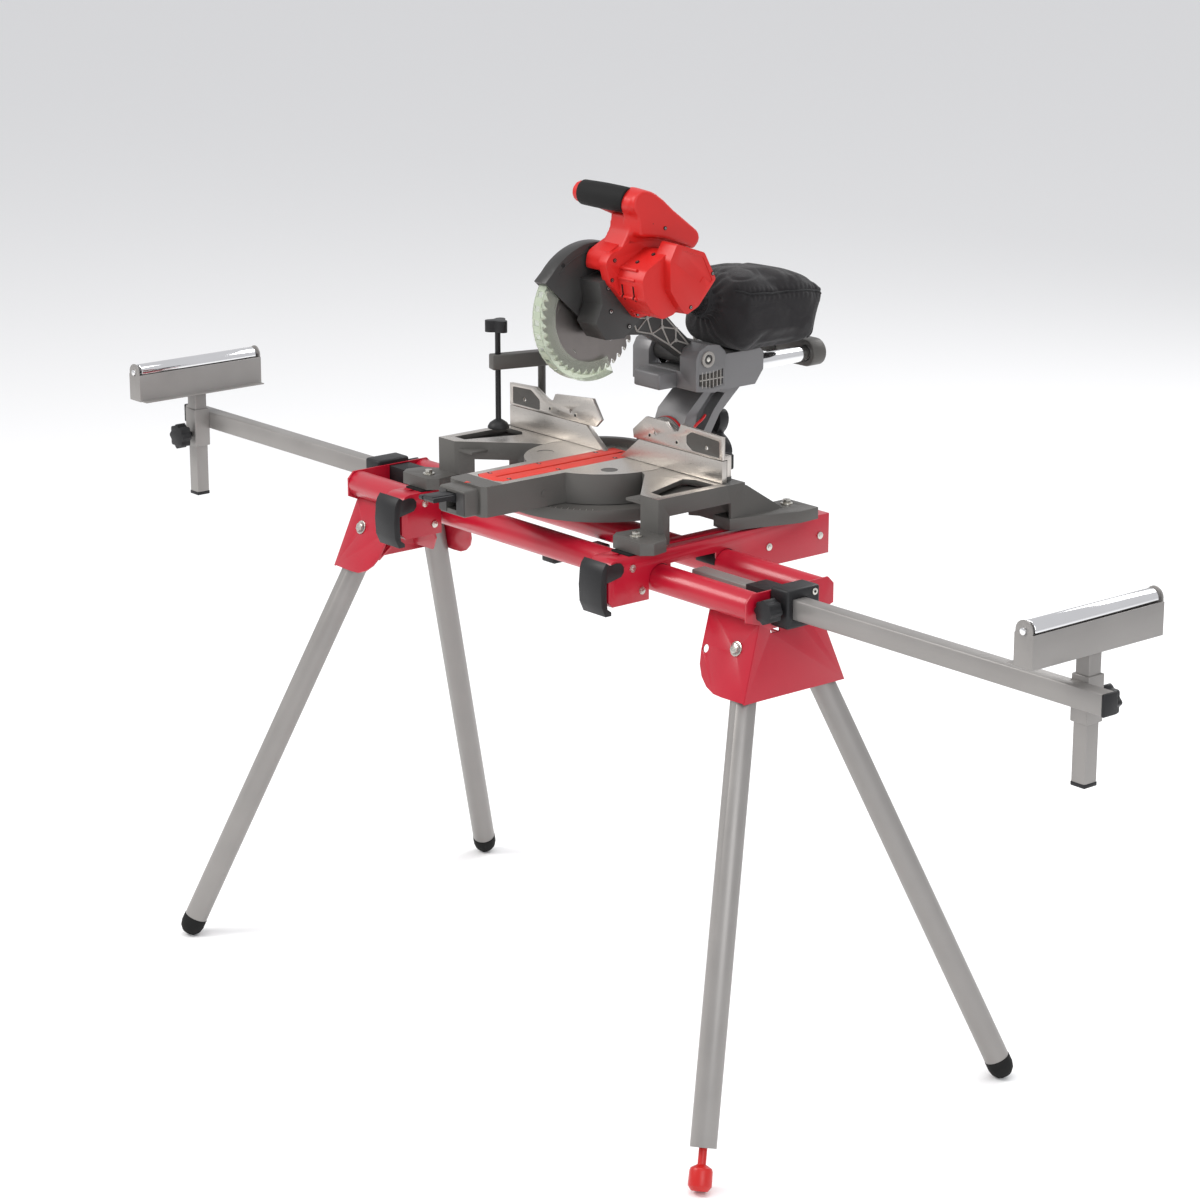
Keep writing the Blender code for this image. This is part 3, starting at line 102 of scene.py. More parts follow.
def new_mat(name, color, rough, metal, spec=0.5, coat=0.0, coat_rough=0.1, sheen=0.0, var=0.06, var_scale=14.0,
            rough_var=0.06, bump_scale=900.0, bump=0.06, bump_dist=0.0004, stretch=None, edge=0.0, trans=0.0, ior=1.45, detail=4.0):
    """A Principled material with colour variation, roughness variation and a surface bump, all in object space; with
    edge above 0, convex edges get a painted highlight.
    """
    m = bpy.data.materials.new("look_" + name)
    m.use_nodes = True
    ns, ls = nodes_of(m)
    b = ns["Principled BSDF"]
    b.inputs["Metallic"].default_value = metal
    b.inputs["Specular IOR Level"].default_value = spec
    b.inputs["Coat Weight"].default_value = coat
    b.inputs["Coat Roughness"].default_value = coat_rough
    b.inputs["Sheen Weight"].default_value = sheen
    b.inputs["Transmission Weight"].default_value = trans
    b.inputs["IOR"].default_value = ior
    tc = ns.new("ShaderNodeTexCoord")
    n1 = ns.new("ShaderNodeTexNoise")
    n1.inputs["Scale"].default_value = var_scale
    n1.inputs["Detail"].default_value = detail
    ls.new(tc.outputs["Object"], n1.inputs["Vector"])
    ramp = ns.new("ShaderNodeValToRGB")
    c = color
    ramp.color_ramp.elements[0].position = 0.3
    ramp.color_ramp.elements[1].position = 0.7
    ramp.color_ramp.elements[0].color = (c[0] * (1 - var), c[1] * (1 - var), c[2] * (1 - var), 1)
    ramp.color_ramp.elements[1].color = (min(1, c[0] * (1 + var)), min(1, c[1] * (1 + var)), min(1, c[2] * (1 + var)), 1)
    ls.new(n1.outputs["Fac"], ramp.inputs["Fac"])
    col_out = ramp.outputs["Color"]
    # painted highlight: where the surface is convex (pointiness), the colour is mixed towards a lighter copy of itself
    if edge > 0:
        geo = ns.new("ShaderNodeNewGeometry")
        er = ns.new("ShaderNodeValToRGB")
        er.color_ramp.elements[0].position = 0.52
        er.color_ramp.elements[1].position = 0.60
        er.color_ramp.elements[0].color = (0, 0, 0, 1)
        er.color_ramp.elements[1].color = (1, 1, 1, 1)
        ls.new(geo.outputs["Pointiness"], er.inputs["Fac"])
        mul = ns.new("ShaderNodeMath")
        mul.operation = "MULTIPLY"
        mul.inputs[1].default_value = edge
        ls.new(er.outputs["Color"], mul.inputs[0])
        mix = ns.new("ShaderNodeMix")
        mix.data_type = "RGBA"
        ls.new(mul.outputs[0], mix.inputs["Factor"])
        ls.new(col_out, mix.inputs[6])
        mix.inputs[7].default_value = (min(1, c[0] * 1.7 + 0.05), min(1, c[1] * 1.7 + 0.05), min(1, c[2] * 1.7 + 0.05), 1)
        col_out = mix.outputs[2]
    ls.new(col_out, b.inputs["Base Color"])
    vec = tc.outputs["Object"]
    if stretch:
        mp = ns.new("ShaderNodeMapping")
        mp.inputs["Scale"].default_value = stretch
        ls.new(vec, mp.inputs["Vector"])
        vec = mp.outputs["Vector"]
    n2 = ns.new("ShaderNodeTexNoise")
    n2.inputs["Scale"].default_value = bump_scale
    n2.inputs["Detail"].default_value = 3.0
    ls.new(vec, n2.inputs["Vector"])
    rr = ns.new("ShaderNodeMapRange")
    rr.inputs["From Min"].default_value = 0.3
    rr.inputs["From Max"].default_value = 0.7
    rr.inputs["To Min"].default_value = max(0.02, rough - rough_var)
    rr.inputs["To Max"].default_value = min(1.0, rough + rough_var)
    ls.new((n2 if stretch else n1).outputs["Fac"], rr.inputs["Value"])
    ls.new(rr.outputs["Result"], b.inputs["Roughness"])
    if bump > 0:
        bp = ns.new("ShaderNodeBump")
        bp.inputs["Strength"].default_value = bump
        bp.inputs["Distance"].default_value = bump_dist
        ls.new(n2.outputs["Fac"], bp.inputs["Height"])
        ls.new(bp.outputs["Normal"], b.inputs["Normal"])
    MATS[name] = m
    return m


# edge= sets the strength of a painted highlight on convex edges
new_mat("red_paint", (0.41, 0.004, 0.020), 0.34, 0.0, coat=0.25, coat_rough=0.18, var=0.05, bump_scale=1100, bump=0.10, bump_dist=0.0003)
new_mat("red_plastic", (0.50, 0.010, 0.008), 0.40, 0.0, var=0.05, bump_scale=3200, bump=0.12, bump_dist=0.0002, edge=0.10)
new_mat("kerf_red", (0.60, 0.028, 0.014), 0.48, 0.0, var=0.07, bump_scale=1800, bump=0.15, bump_dist=0.0002)
new_mat("grey_paint", (0.280, 0.267, 0.256), 0.42, 0.45, var=0.05, bump_scale=2600, bump=0.10, bump_dist=0.0002, rough_var=0.05)
new_mat("cast_grey", (0.082, 0.078, 0.072), 0.50, 0.25, var=0.10, bump_scale=1300, bump=0.28, bump_dist=0.0004, edge=0.22)
# a lighter copy of the cast colour: painted highlight on ribs and bosses
new_mat("cast_light", (0.30, 0.285, 0.265), 0.46, 0.55, var=0.10, bump_scale=1300, bump=0.28, bump_dist=0.0004, edge=0.35)
new_mat("arm_grey", (0.150, 0.148, 0.150), 0.40, 0.35, var=0.06, bump_scale=1500, bump=0.16, bump_dist=0.0003, edge=0.25)
# a darker copy of the cast colour: painted shade in pockets, bores and beside the lever
new_mat("cast_dark", (0.045, 0.043, 0.042), 0.55, 0.2, var=0.10, bump_scale=1500, bump=0.22, bump_dist=0.0004, edge=0.15)
new_mat("machined", (0.52, 0.49, 0.455), 0.34, 0.92, var=0.05, var_scale=9, bump_scale=60, bump=0.10, bump_dist=0.0002, stretch=(3.0, 45.0, 45.0), rough_var=0.10, edge=0.2)
new_mat("machined_z", (0.50, 0.475, 0.445), 0.36, 0.92, var=0.05, var_scale=9, bump_scale=60, bump=0.10, bump_dist=0.0002, stretch=(30.0, 30.0, 2.0), rough_var=0.10)
new_mat("zinc", (0.62, 0.60, 0.55), 0.28, 1.0, var=0.08, var_scale=300, bump_scale=1500, bump=0.05)
new_mat("black_plastic", (0.011, 0.011, 0.012), 0.44, 0.0, spec=0.35, var=0.12, bump_scale=2600, bump=0.22, bump_dist=0.0002, edge=0.08)
new_mat("guard_plastic", (0.030, 0.029, 0.028), 0.38, 0.0, spec=0.40, var=0.10, bump_scale=2600, bump=0.12, bump_dist=0.0002, edge=0.10)
new_mat("rubber", (0.008, 0.008, 0.008), 0.70, 0.0, spec=0.25, var=0.15, bump_scale=2200, bump=0.35, bump_dist=0.0003)
new_mat("chrome", (0.80, 0.80, 0.81), 0.10, 1.0, var=0.02, bump_scale=300, bump=0.01, rough_var=0.03)
new_mat("steel", (0.40, 0.385, 0.37), 0.34, 1.0, var=0.08, var_scale=40, bump_scale=400, bump=0.03, rough_var=0.06)
# near-black painted shade, put in slots, holes and screw sockets
new_mat("slot_black", (0.006, 0.006, 0.006), 0.8, 0.0, var=0.1, bump=0.0)
new_mat("red_ring", (0.55, 0.010, 0.012), 0.40, 0.0, var=0.05, bump_scale=2000, bump=0.08)
new_mat("copper", (0.60, 0.30, 0.16), 0.35, 1.0, var=0.1, bump_scale=900, bump=0.3)

new_mat("bag_piping", (0.010, 0.010, 0.011), 0.65, 0.0, spec=0.30, sheen=0.1, var=0.15, bump_scale=1800, bump=0.4, bump_dist=0.0003)


def guard_material():
    m = new_mat("clear_guard", (0.86, 0.90, 0.80), 0.14, 0.0, var=0.03, var_scale=20, bump_scale=300, bump=0.015, trans=0.90, ior=1.35, rough_var=0.04)
    new_mat("guard_rim", (0.62, 0.68, 0.55), 0.22, 0.0, var=0.04, var_scale=20, bump_scale=300, bump=0.02, trans=0.55, ior=1.40, rough_var=0.04)
    return m


guard_material()


def steel_radial(name, centre, color, rough):
    """Ground steel with rings round an axis along X."""
    m = bpy.data.materials.new("look_" + name)
    m.use_nodes = True
    ns, ls = nodes_of(m)
    b = ns["Principled BSDF"]
    b.inputs["Metallic"].default_value = 1.0
    tc = ns.new("ShaderNodeTexCoord")
    mp = ns.new("ShaderNodeMapping")
    mp.inputs["Location"].default_value = (0, -centre[0], -centre[1])
    ls.new(tc.outputs["Object"], mp.inputs["Vector"])
    flat = ns.new("ShaderNodeVectorMath")
    flat.operation = "MULTIPLY"
    flat.inputs[1].default_value = (0, 1, 1)
    ls.new(mp.outputs["Vector"], flat.inputs[0])
    ln = ns.new("ShaderNodeVectorMath")
    ln.operation = "LENGTH"
    ls.new(flat.outputs[0], ln.inputs[0])
    n = ns.new("ShaderNodeTexNoise")
    n.noise_dimensions = "1D"
    n.inputs["Scale"].default_value = 1500
    n.inputs["Detail"].default_value = 3
    ls.new(ln.outputs["Value"], n.inputs["W"])
    n3 = ns.new("ShaderNodeTexNoise")
    n3.inputs["Scale"].default_value = 22
    ls.new(tc.outputs["Object"], n3.inputs["Vector"])
    ramp = ns.new("ShaderNodeValToRGB")
    ramp.color_ramp.elements[0].position = 0.25
    ramp.color_ramp.elements[1].position = 0.75
    ramp.color_ramp.elements[0].color = (color[0] * 0.75, color[1] * 0.75, color[2] * 0.75, 1)
    ramp.color_ramp.elements[1].color = (color[0] * 1.15, color[1] * 1.15, color[2] * 1.15, 1)
    add = ns.new("ShaderNodeMath")
    add.operation = "ADD"
    ls.new(n.outputs["Fac"], add.inputs[0])
    ls.new(n3.outputs["Fac"], add.inputs[1])
    half = ns.new("ShaderNodeMath")
    half.operation = "MULTIPLY"
    half.inputs[1].default_value = 0.5
    ls.new(add.outputs[0], half.inputs[0])
    ls.new(half.outputs[0], ramp.inputs["Fac"])
    ls.new(ramp.outputs["Color"], b.inputs["Base Color"])
    rr = ns.new("ShaderNodeMapRange")
    rr.inputs["To Min"].default_value = rough - 0.08
    rr.inputs["To Max"].default_value = rough + 0.10
    ls.new(n.outputs["Fac"], rr.inputs["Value"])
    ls.new(rr.outputs["Result"], b.inputs["Roughness"])
    bp = ns.new("ShaderNodeBump")
    bp.inputs["Strength"].default_value = 0.12
    bp.inputs["Distance"].default_value = 0.0001
    ls.new(n.outputs["Fac"], bp.inputs["Height"])
    ls.new(bp.outputs["Normal"], b.inputs["Normal"])
    MATS[name] = m
    return m


steel_radial("blade_steel", (BLADE_C[0] + SY + OY, BLADE_C[1] + SZ), (0.23, 0.21, 0.20), 0.36)


def cloth_material():
    """Black woven bag cloth: a crossed weave in bump and colour, with sheen."""
    m = bpy.data.materials.new("look_bag_cloth")
    m.use_nodes = True
    ns, ls = nodes_of(m)
    b = ns["Principled BSDF"]
    b.inputs["Sheen Weight"].default_value = 0.12
    b.inputs["Specular IOR Level"].default_value = 0.25
    b.inputs["Sheen Roughness"].default_value = 0.5
    tc = ns.new("ShaderNodeTexCoord")
    w1 = ns.new("ShaderNodeTexWave")
    w1.bands_direction = "Y"
    w1.inputs["Scale"].default_value = 420
    w1.inputs["Distortion"].default_value = 0.6
    w2 = ns.new("ShaderNodeTexWave")
    w2.bands_direction = "Z"
    w2.inputs["Scale"].default_value = 420
    w2.inputs["Distortion"].default_value = 0.6
    w3 = ns.new("ShaderNodeTexWave")
    w3.bands_direction = "X"
    w3.inputs["Scale"].default_value = 420
    w3.inputs["Distortion"].default_value = 0.6
    for w in (w1, w2, w3):
        ls.new(tc.outputs["Object"], w.inputs["Vector"])
    mx = ns.new("ShaderNodeMath")
    mx.operation = "MAXIMUM"
    ls.new(w1.outputs["Fac"], mx.inputs[0])
    ls.new(w2.outputs["Fac"], mx.inputs[1])
    mx2 = ns.new("ShaderNodeMath")
    mx2.operation = "MAXIMUM"
    ls.new(mx.outputs[0], mx2.inputs[0])
    ls.new(w3.outputs["Fac"], mx2.inputs[1])
    n = ns.new("ShaderNodeTexNoise")
    n.inputs["Scale"].default_value = 30
    n.inputs["Detail"].default_value = 6
    ls.new(tc.outputs["Object"], n.inputs["Vector"])
    ramp = ns.new("ShaderNodeValToRGB")
    ramp.color_ramp.elements[0].color = (0.0075, 0.0068, 0.0075, 1)
    ramp.color_ramp.elements[1].color = (0.020, 0.018, 0.0195, 1)
    mul = ns.new("ShaderNodeMath")
    mul.operation = "MULTIPLY"
    ls.new(mx2.outputs[0], mul.inputs[0])
    ls.new(n.outputs["Fac"], mul.inputs[1])
    ls.new(mul.outputs[0], ramp.inputs["Fac"])
    ls.new(ramp.outputs["Color"], b.inputs["Base Color"])
    rr = ns.new("ShaderNodeMapRange")
    rr.inputs["To Min"].default_value = 0.72
    rr.inputs["To Max"].default_value = 0.95
    ls.new(n.outputs["Fac"], rr.inputs["Value"])
    ls.new(rr.outputs["Result"], b.inputs["Roughness"])
    bp = ns.new("ShaderNodeBump")
    bp.inputs["Strength"].default_value = 0.45
    bp.inputs["Distance"].default_value = 0.0004
    ls.new(mx2.outputs[0], bp.inputs["Height"])
    bp2 = ns.new("ShaderNodeBump")
    bp2.inputs["Strength"].default_value = 0.5
    bp2.inputs["Distance"].default_value = 0.004
    ls.new(n.outputs["Fac"], bp2.inputs["Height"])
    ls.new(bp.outputs["Normal"], bp2.inputs["Normal"])
    ls.new(bp2.outputs["Normal"], b.inputs["Normal"])
    MATS["bag_cloth"] = m


cloth_material()


# ---------------------------------------------------------------- helpers
def link(name, mesh, mat=None):
    o = bpy.data.objects.new(name if name == "c" else "v_" + name, mesh)
    COL.objects.link(o)
    if mat:
        mesh.materials.clear()
        mesh.materials.append(MATS[mat])
    return o


def from_bm(name, bm, mat=None):
    bmesh.ops.recalc_face_normals(bm, faces=bm.faces)
    me = bpy.data.meshes.new(name)
    bm.to_mesh(me)
    bm.free()
    return link(name, me, mat)


def bevel_bm(bm, width, segments=1, angle=0.6):
    if width <= 0:
        return
    edges = [e for e in bm.edges if len(e.link_faces) == 2 and e.calc_face_angle(0) > angle]
    bmesh.ops.bevel(bm, geom=edges, offset=width, segments=max(2, segments) if width < 0.003 else 4, profile=0.5, affect="EDGES", clamp_overlap=True)


def box(name, lo, hi, mat=None, bevel=0.0, segments=1):
    bm = bmesh.new()
    c = [(a + b) / 2 for a, b in zip(lo, hi)]
    s = [abs(b - a) for a, b in zip(lo, hi)]
    bmesh.ops.create_cube(bm, size=1, matrix=Matrix.Translation(c) @ Matrix.Diagonal((*s, 1)))
    bevel_bm(bm, bevel, segments)
    return from_bm(name, bm, mat)


def rod(name, a, b, r, seg=20, mat=None, r2=None, bevel=0.0):
    """A solid cylinder or cone between two points."""
    a, b = Vector(a), Vector(b)
    d = b - a
    n = seg if seg == 6 else int(round(seg * HI / 4) * 4)
    bm = bmesh.new()
    m = Matrix.Translation((a + b) / 2) @ d.to_track_quat("Z", "Y").to_matrix().to_4x4()
    bmesh.ops.create_cone(bm, cap_ends=True, segments=n, radius1=r, radius2=r if r2 is None else r2, depth=d.length, matrix=m)
    bevel_bm(bm, bevel, 2, 1.0)
    return from_bm(name, bm, mat)


def plate(name, loops, plane, lo, hi, mat=None, bevel=0.0):
    """A flat outline with holes, extruded along the axis across its plane."""
    cu = bpy.data.curves.new(name, "CURVE")
    cu.dimensions = "2D"
    cu.fill_mode = "BOTH"
    cu.extrude = abs(hi - lo) / 2
    for pts in loops:
        sp = cu.splines.new("POLY")
        sp.points.add(len(pts) - 1)
        for p, q in zip(sp.points, pts):
            p.co = (q[0], q[1], 0, 1)
        sp.use_cyclic_u = True
    o = bpy.data.objects.new(name, cu)
    COL.objects.link(o)
    mid = (lo + hi) / 2
    if plane == "xy":
        m = Matrix.Translation((0, 0, mid))
    elif plane == "yz":
        m = Matrix(((0, 0, 1, mid), (1, 0, 0, 0), (0, 1, 0, 0), (0, 0, 0, 1)))
    else:
        m = Matrix(((1, 0, 0, 0), (0, 0, -1, mid), (0, 1, 0, 0), (0, 0, 0, 1)))
    o.matrix_world = m
    bpy.context.view_layer.update()
    dg = bpy.context.evaluated_depsgraph_get()
    me = bpy.data.meshes.new_from_object(o.evaluated_get(dg))
    me.transform(o.matrix_world)
    bpy.data.objects.remove(o)
    bm = bmesh.new()
    bm.from_mesh(me)
    bmesh.ops.remove_doubles(bm, verts=bm.verts, dist=1e-6)
    bmesh.ops.dissolve_limit(bm, angle_limit=0.01, verts=bm.verts, edges=bm.edges)
    bevel_bm(bm, bevel)
    bpy.data.meshes.remove(me)
    return from_bm(name, bm, mat)


def smooth_loop(pts, r=0.004, n=4, keep=()):
    """The outline with each corner rounded, by at most r."""
    out = []
    k = len(pts)
    for i in range(k):
        p0, p1, p2 = Vector(pts[i - 1]), Vector(pts[i]), Vector(pts[(i + 1) % k])
        if i in keep:
            out.append(tuple(p1))
            continue
        a, b = (p0 - p1), (p2 - p1)
        la, lb = a.length, b.length
        if la < 1e-7 or lb < 1e-7:
            out.append(tuple(p1))
            continue
        d = min(r, la * 0.45, lb * 0.45)
        q0, q1 = p1 + a / la * d, p1 + b / lb * d
        for j in range(n + 1):
            t = j / n
            out.append(tuple(q0 * (1 - t) ** 2 + p1 * 2 * t * (1 - t) + q1 * t * t))
    return out


def lathe(name, profile, origin, axis, seg=24, mat=None):
    """A turned shape: profile of (radius, height), from the top on the axis down the outer side to the bottom on the axis."""
    me = bpy.data.meshes.new(name)
    bm = bmesh.new()
    vs = [bm.verts.new((r, 0, h)) for r, h in profile]
    for a, b in zip(vs, vs[1:]):
        bm.edges.new((a, b))
    bm.to_mesh(me)
    bm.free()
    o = link(name, me, mat)
    s = o.modifiers.new("turn", "SCREW")
    s.steps = s.render_steps = int(seg * HI)
    s.use_merge_vertices = True
    s.merge_threshold = 0.00001
    q = Vector(axis).to_track_quat("Z", "Y").to_matrix().to_4x4()
    apply_mesh(o)
    o.data.transform(Matrix.Translation(origin) @ q)
    bm = bmesh.new()
    bm.from_mesh(o.data)
    bmesh.ops.remove_doubles(bm, verts=bm.verts, dist=1e-6)
    bmesh.ops.recalc_face_normals(bm, faces=bm.faces)
    bm.to_mesh(o.data)
    bm.free()
    return o


def apply_mesh(o):
    bpy.context.view_layer.update()
    dg = bpy.context.evaluated_depsgraph_get()
    me = bpy.data.meshes.new_from_object(o.evaluated_get(dg))
    old = o.data
    mats = [m for m in old.materials]
    o.modifiers.clear()
    o.data = me
    if not me.materials and mats:
        for m in mats:
            me.materials.append(m)
    return o


def boolean(o, other, op):
    m = o.modifiers.new("b", "BOOLEAN")
    m.operation = op
    m.solver = "EXACT"
    m.object = other
    apply_mesh(o)
    bpy.data.objects.remove(other)
    return o


def join(o, *others):
    for x in others:
        boolean(o, x, "UNION")
    return o


def cut(o, *others):
    for x in others:
        boolean(o, x, "DIFFERENCE")
    return o


def move(o, v):
    o.data.transform(Matrix.Translation(v))
    return o


def paint(o, mat):
    o.data.materials.clear()
    o.data.materials.append(MATS[mat])
    for p in o.data.polygons:
        p.material_index = 0
    return o


def assign(o, mat, test):
    """Faces for which test(centre, normal) is true take another material."""
    names = [m.name for m in o.data.materials]
    if MATS[mat].name not in names:
        o.data.materials.append(MATS[mat])
        names.append(MATS[mat].name)
    i = names.index(MATS[mat].name)
    for p in o.data.polygons:
        if test(p.center, p.normal):
            p.material_index = i
    return o


def merge(o, *others):
    """Adds other meshes to o as they are, keeping their materials."""
    names = [m.name for m in o.data.materials]
    bm = bmesh.new()
    bm.from_mesh(o.data)
    for x in others:
        remap = []
        for m in x.data.materials:
            if m.name not in names:
                o.data.materials.append(m)
                names.append(m.name)
            remap.append(names.index(m.name))
        n0 = len(bm.faces)
        bm.from_mesh(x.data)
        bm.faces.ensure_lookup_table()
        for f in bm.faces[n0:]:
            f.material_index = remap[f.material_index] if remap else 0
        bpy.data.objects.remove(x)
    bm.to_mesh(o.data)
    bm.free()
    return o


def mirror_x(pts):
    return [(-x, y) for x, y in reversed(pts)]


def circle(cx, cy, r, n=16, start=0.0, end=2 * math.pi):
    full = abs(end - start - 2 * math.pi) < 1e-9
    n = int(n * HI)
    k = n if full else n - 1
    return [(cx + r * math.cos(start + (end - start) * i / k), cy + r * math.sin(start + (end - start) * i / k)) for i in range(n)]


def soften(o, width=0.0008, segments=2, angle=0.55):
    """Rounds the sharp edges of a finished mesh."""
    b = o.modifiers.new("edge", "BEVEL")
    b.width = width
    b.segments = segments
    b.limit_method = "ANGLE"
    b.angle_limit = angle
    b.use_clamp_overlap = True
    b.harden_normals = False
    b.miter_outer = "MITER_ARC"
    apply_mesh(o)
    return o


def shade(o, angle=0.6):
    for p in o.data.polygons:
        p.use_smooth = True
    o.data.set_sharp_from_angle(angle=angle)
    return o


# ================================================================ STAND
# --- beam tubes
for side, sy in (("front", -1), ("rear", 1)):
    t = rod(f"{side}_beam_tube", (-BEAM_HALF, sy * BEAM_Y, BEAM_Z), (BEAM_HALF, sy * BEAM_Y, BEAM_Z), BEAM_R, 28, "red_paint")
    cut(t, rod("c", (-BEAM_HALF - 0.01, sy * BEAM_Y, BEAM_Z), (BEAM_HALF + 0.01, sy * BEAM_Y, BEAM_Z), BEAM_R - 0.002, 20))

box("centre_cross_member", (-0.015, -0.056, 0.7335), (0.015, 0.056, 0.7462), "black_plastic", 0.002)

# --- leg housings: a pressed end plate, two splayed outer cheeks and two inner cheeks
def splay_matrix(sx, sy):
    """Local frame of one leg: origin at its pivot, local X along the beam (out), local Y the hinge axis (out of the beam), local Z up in the splayed plane."""
    ez = Vector((0, -sy * math.sin(SPLAY), math.cos(SPLAY)))
    ey = Vector((0, sy * math.cos(SPLAY), math.sin(SPLAY)))
    ex = Vector((sx, 0, 0))
    m = Matrix((ex, ey, ez)).transposed().to_4x4()
    m.translation = (sx * PIVOT_X, sy * PIVOT_YS[sx], PIVOT_Z)
    return m


def flip_if_needed(o, m):
    o.data.transform(m)
    if m.determinant() < 0:
        o.data.flip_normals()
    return o


CHEEK_IN, CHEEK_OUT = 0.0200, 0.0232     # outer cheek, distance from the leg's plane
TOP_CHEEK = 0.0470                       # top edge of the cheeks above the pivot, in the splayed plane
PLATE_X, PLATE_LEAN = 0.4744, 0.118      # inner face of the end plate, and how it leans out below the tubes


def plate_x(z):
    return PLATE_X + PLATE_LEAN * max(0.0, 0.742 - z)


for side, sx in (("left", -1), ("right", 1)):
    py = PIVOT_YS[sx]

    def cheek_y(z, off):
        return py + off / math.cos(SPLAY) + (PIVOT_Z - z) * math.tan(SPLAY)

    z_top, z_bot = 0.790, 0.6345
    half = [(0.074, z_top), (0.0850, 0.779), (0.0850, 0.7500), (cheek_y(0.742, 0.0224), 0.742), (cheek_y(z_bot, 0.0224), z_bot)]
    h = plate(f"{side}_leg_housing", [half + [(-y, z) for y, z in reversed(half)]], "yz", 0, 0.003, "red_paint")
    for v in h.data.vertices:
        v.co.x = sx * (v.co.x + plate_x(v.co.z))
    bm = bmesh.new(); bm.from_mesh(h.data); bmesh.ops.recalc_face_normals(bm, faces=bm.faces); bm.to_mesh(h.data); bm.free()
    for sy in (-1, 1):
        m = splay_matrix(sx, sy)
        # outer cheek outline in local X (out) and Z (up): straight outer edge along the end plate, round inner corner
        edge = lambda lz: plate_x(PIVOT_Z + lz * math.cos(SPLAY) + 0.0216 * math.sin(SPLAY)) + 0.0015 - PIVOT_X
        rr = 0.060
        outline = [(edge(TOP_CHEEK), TOP_CHEEK), (edge(0.0415), 0.0415), (edge(-0.0715), -0.0715)]
        outline += [(rr * math.cos(a) - 0.0090, rr * math.sin(a) - 0.0130) for a in [math.radians(d) for d in (-84, -102, -120, -138, -156, -176)]]
        outline += [(-0.0750, TOP_CHEEK)]
        hole2 = circle(-0.0610, 0.0 if sx < 0 else -0.0130, 0.0062, 12)
        c = plate("c", [outline, circle(0, 0, 0.0052, 12), hole2], "xz", CHEEK_IN, CHEEK_OUT)
        flip_if_needed(c, m)
        ein = lambda lz: plate_x(PIVOT_Z + lz * math.cos(SPLAY) - 0.0216 * math.sin(SPLAY)) + 0.0015 - PIVOT_X
        inner = [(ein(0.020), 0.020), (ein(-0.045), -0.045), (-0.010, -0.045), (-0.030, -0.020), (-0.034, 0.020)]
        ci = plate("c", [inner, circle(0, 0, 0.0052, 12)], "xz", -0.0232, -0.0200)
        flip_if_needed(ci, m)
        join(h, c, ci)
    # window for the bar guide: the left bar runs at +Y, the right bar at -Y
    by = -sx * BAR_Y
    cut(h, box("c", (sx * 0.45 - 0.06, by - 0.0205, BEAM_Z - 0.0205), (sx * 0.45 + 0.06, by + 0.0205, BEAM_Z + 0.0205)))
    paint(h, "red_paint")

    # bar guide and clamp: a block outside the end plate and a guide that passes through it
    zc = BEAM_Z
    X0, X1 = sx * 0.4790, sx * 0.5160
    y_f, y_r = by + sx * 0.0390, by - sx * 0.0235      # long side away from the knob
    blk = box(f"{side}_bar_clamp_block", (min(X0, X1), min(y_f, y_r), zc - 0.0285), (max(X0, X1), max(y_f, y_r), zc + 0.0290), "black_plastic", 0.004)
    join(blk, box("c", (min(sx * 0.425, sx * 0.490), by - 0.0198, zc - 0.0198), (max(sx * 0.425, sx * 0.490), by + 0.0198, zc + 0.0198)))
    cut(blk, box("c", (min(sx * 0.40, sx * 0.53), by - BAR_W / 2 - 0.0004, zc - BAR_H / 2 - 0.0004), (max(sx * 0.40, sx * 0.53), by + BAR_W / 2 + 0.0004, zc + BAR_H / 2 + 0.0004)))
    kx, ky, kdir = sx * 0.4990, y_r, -sx        # the knob is on the bar's own side
    cut(blk, rod("c", (kx, by, zc), (kx, by + kdir * 0.04, zc), 0.0045, 12))
    paint(blk, "black_plastic")
    # lobed knob with its screw
    kn = plate(f"{side}_bar_clamp_knob", [[(kx + (0.0168 + 0.0012 * math.cos(8 * a)) * math.cos(a), zc + (0.0168 + 0.0012 * math.cos(8 * a)) * math.sin(a)) for a in [2 * math.pi * i / 96 for i in range(96)]]],
               "xz", ky + kdir * 0.010, ky + kdir * 0.032, "black_plastic", 0.0)
    join(kn, rod("c", (kx, by + kdir * (BAR_W / 2 + 0.0008), zc), (kx, ky + kdir * 0.012, zc), 0.0040, 12), rod("c", (kx, ky + kdir * 0.0035, zc), (kx, ky + kdir * 0.0115, zc), 0.0095, 14))
    paint(kn, "black_plastic")

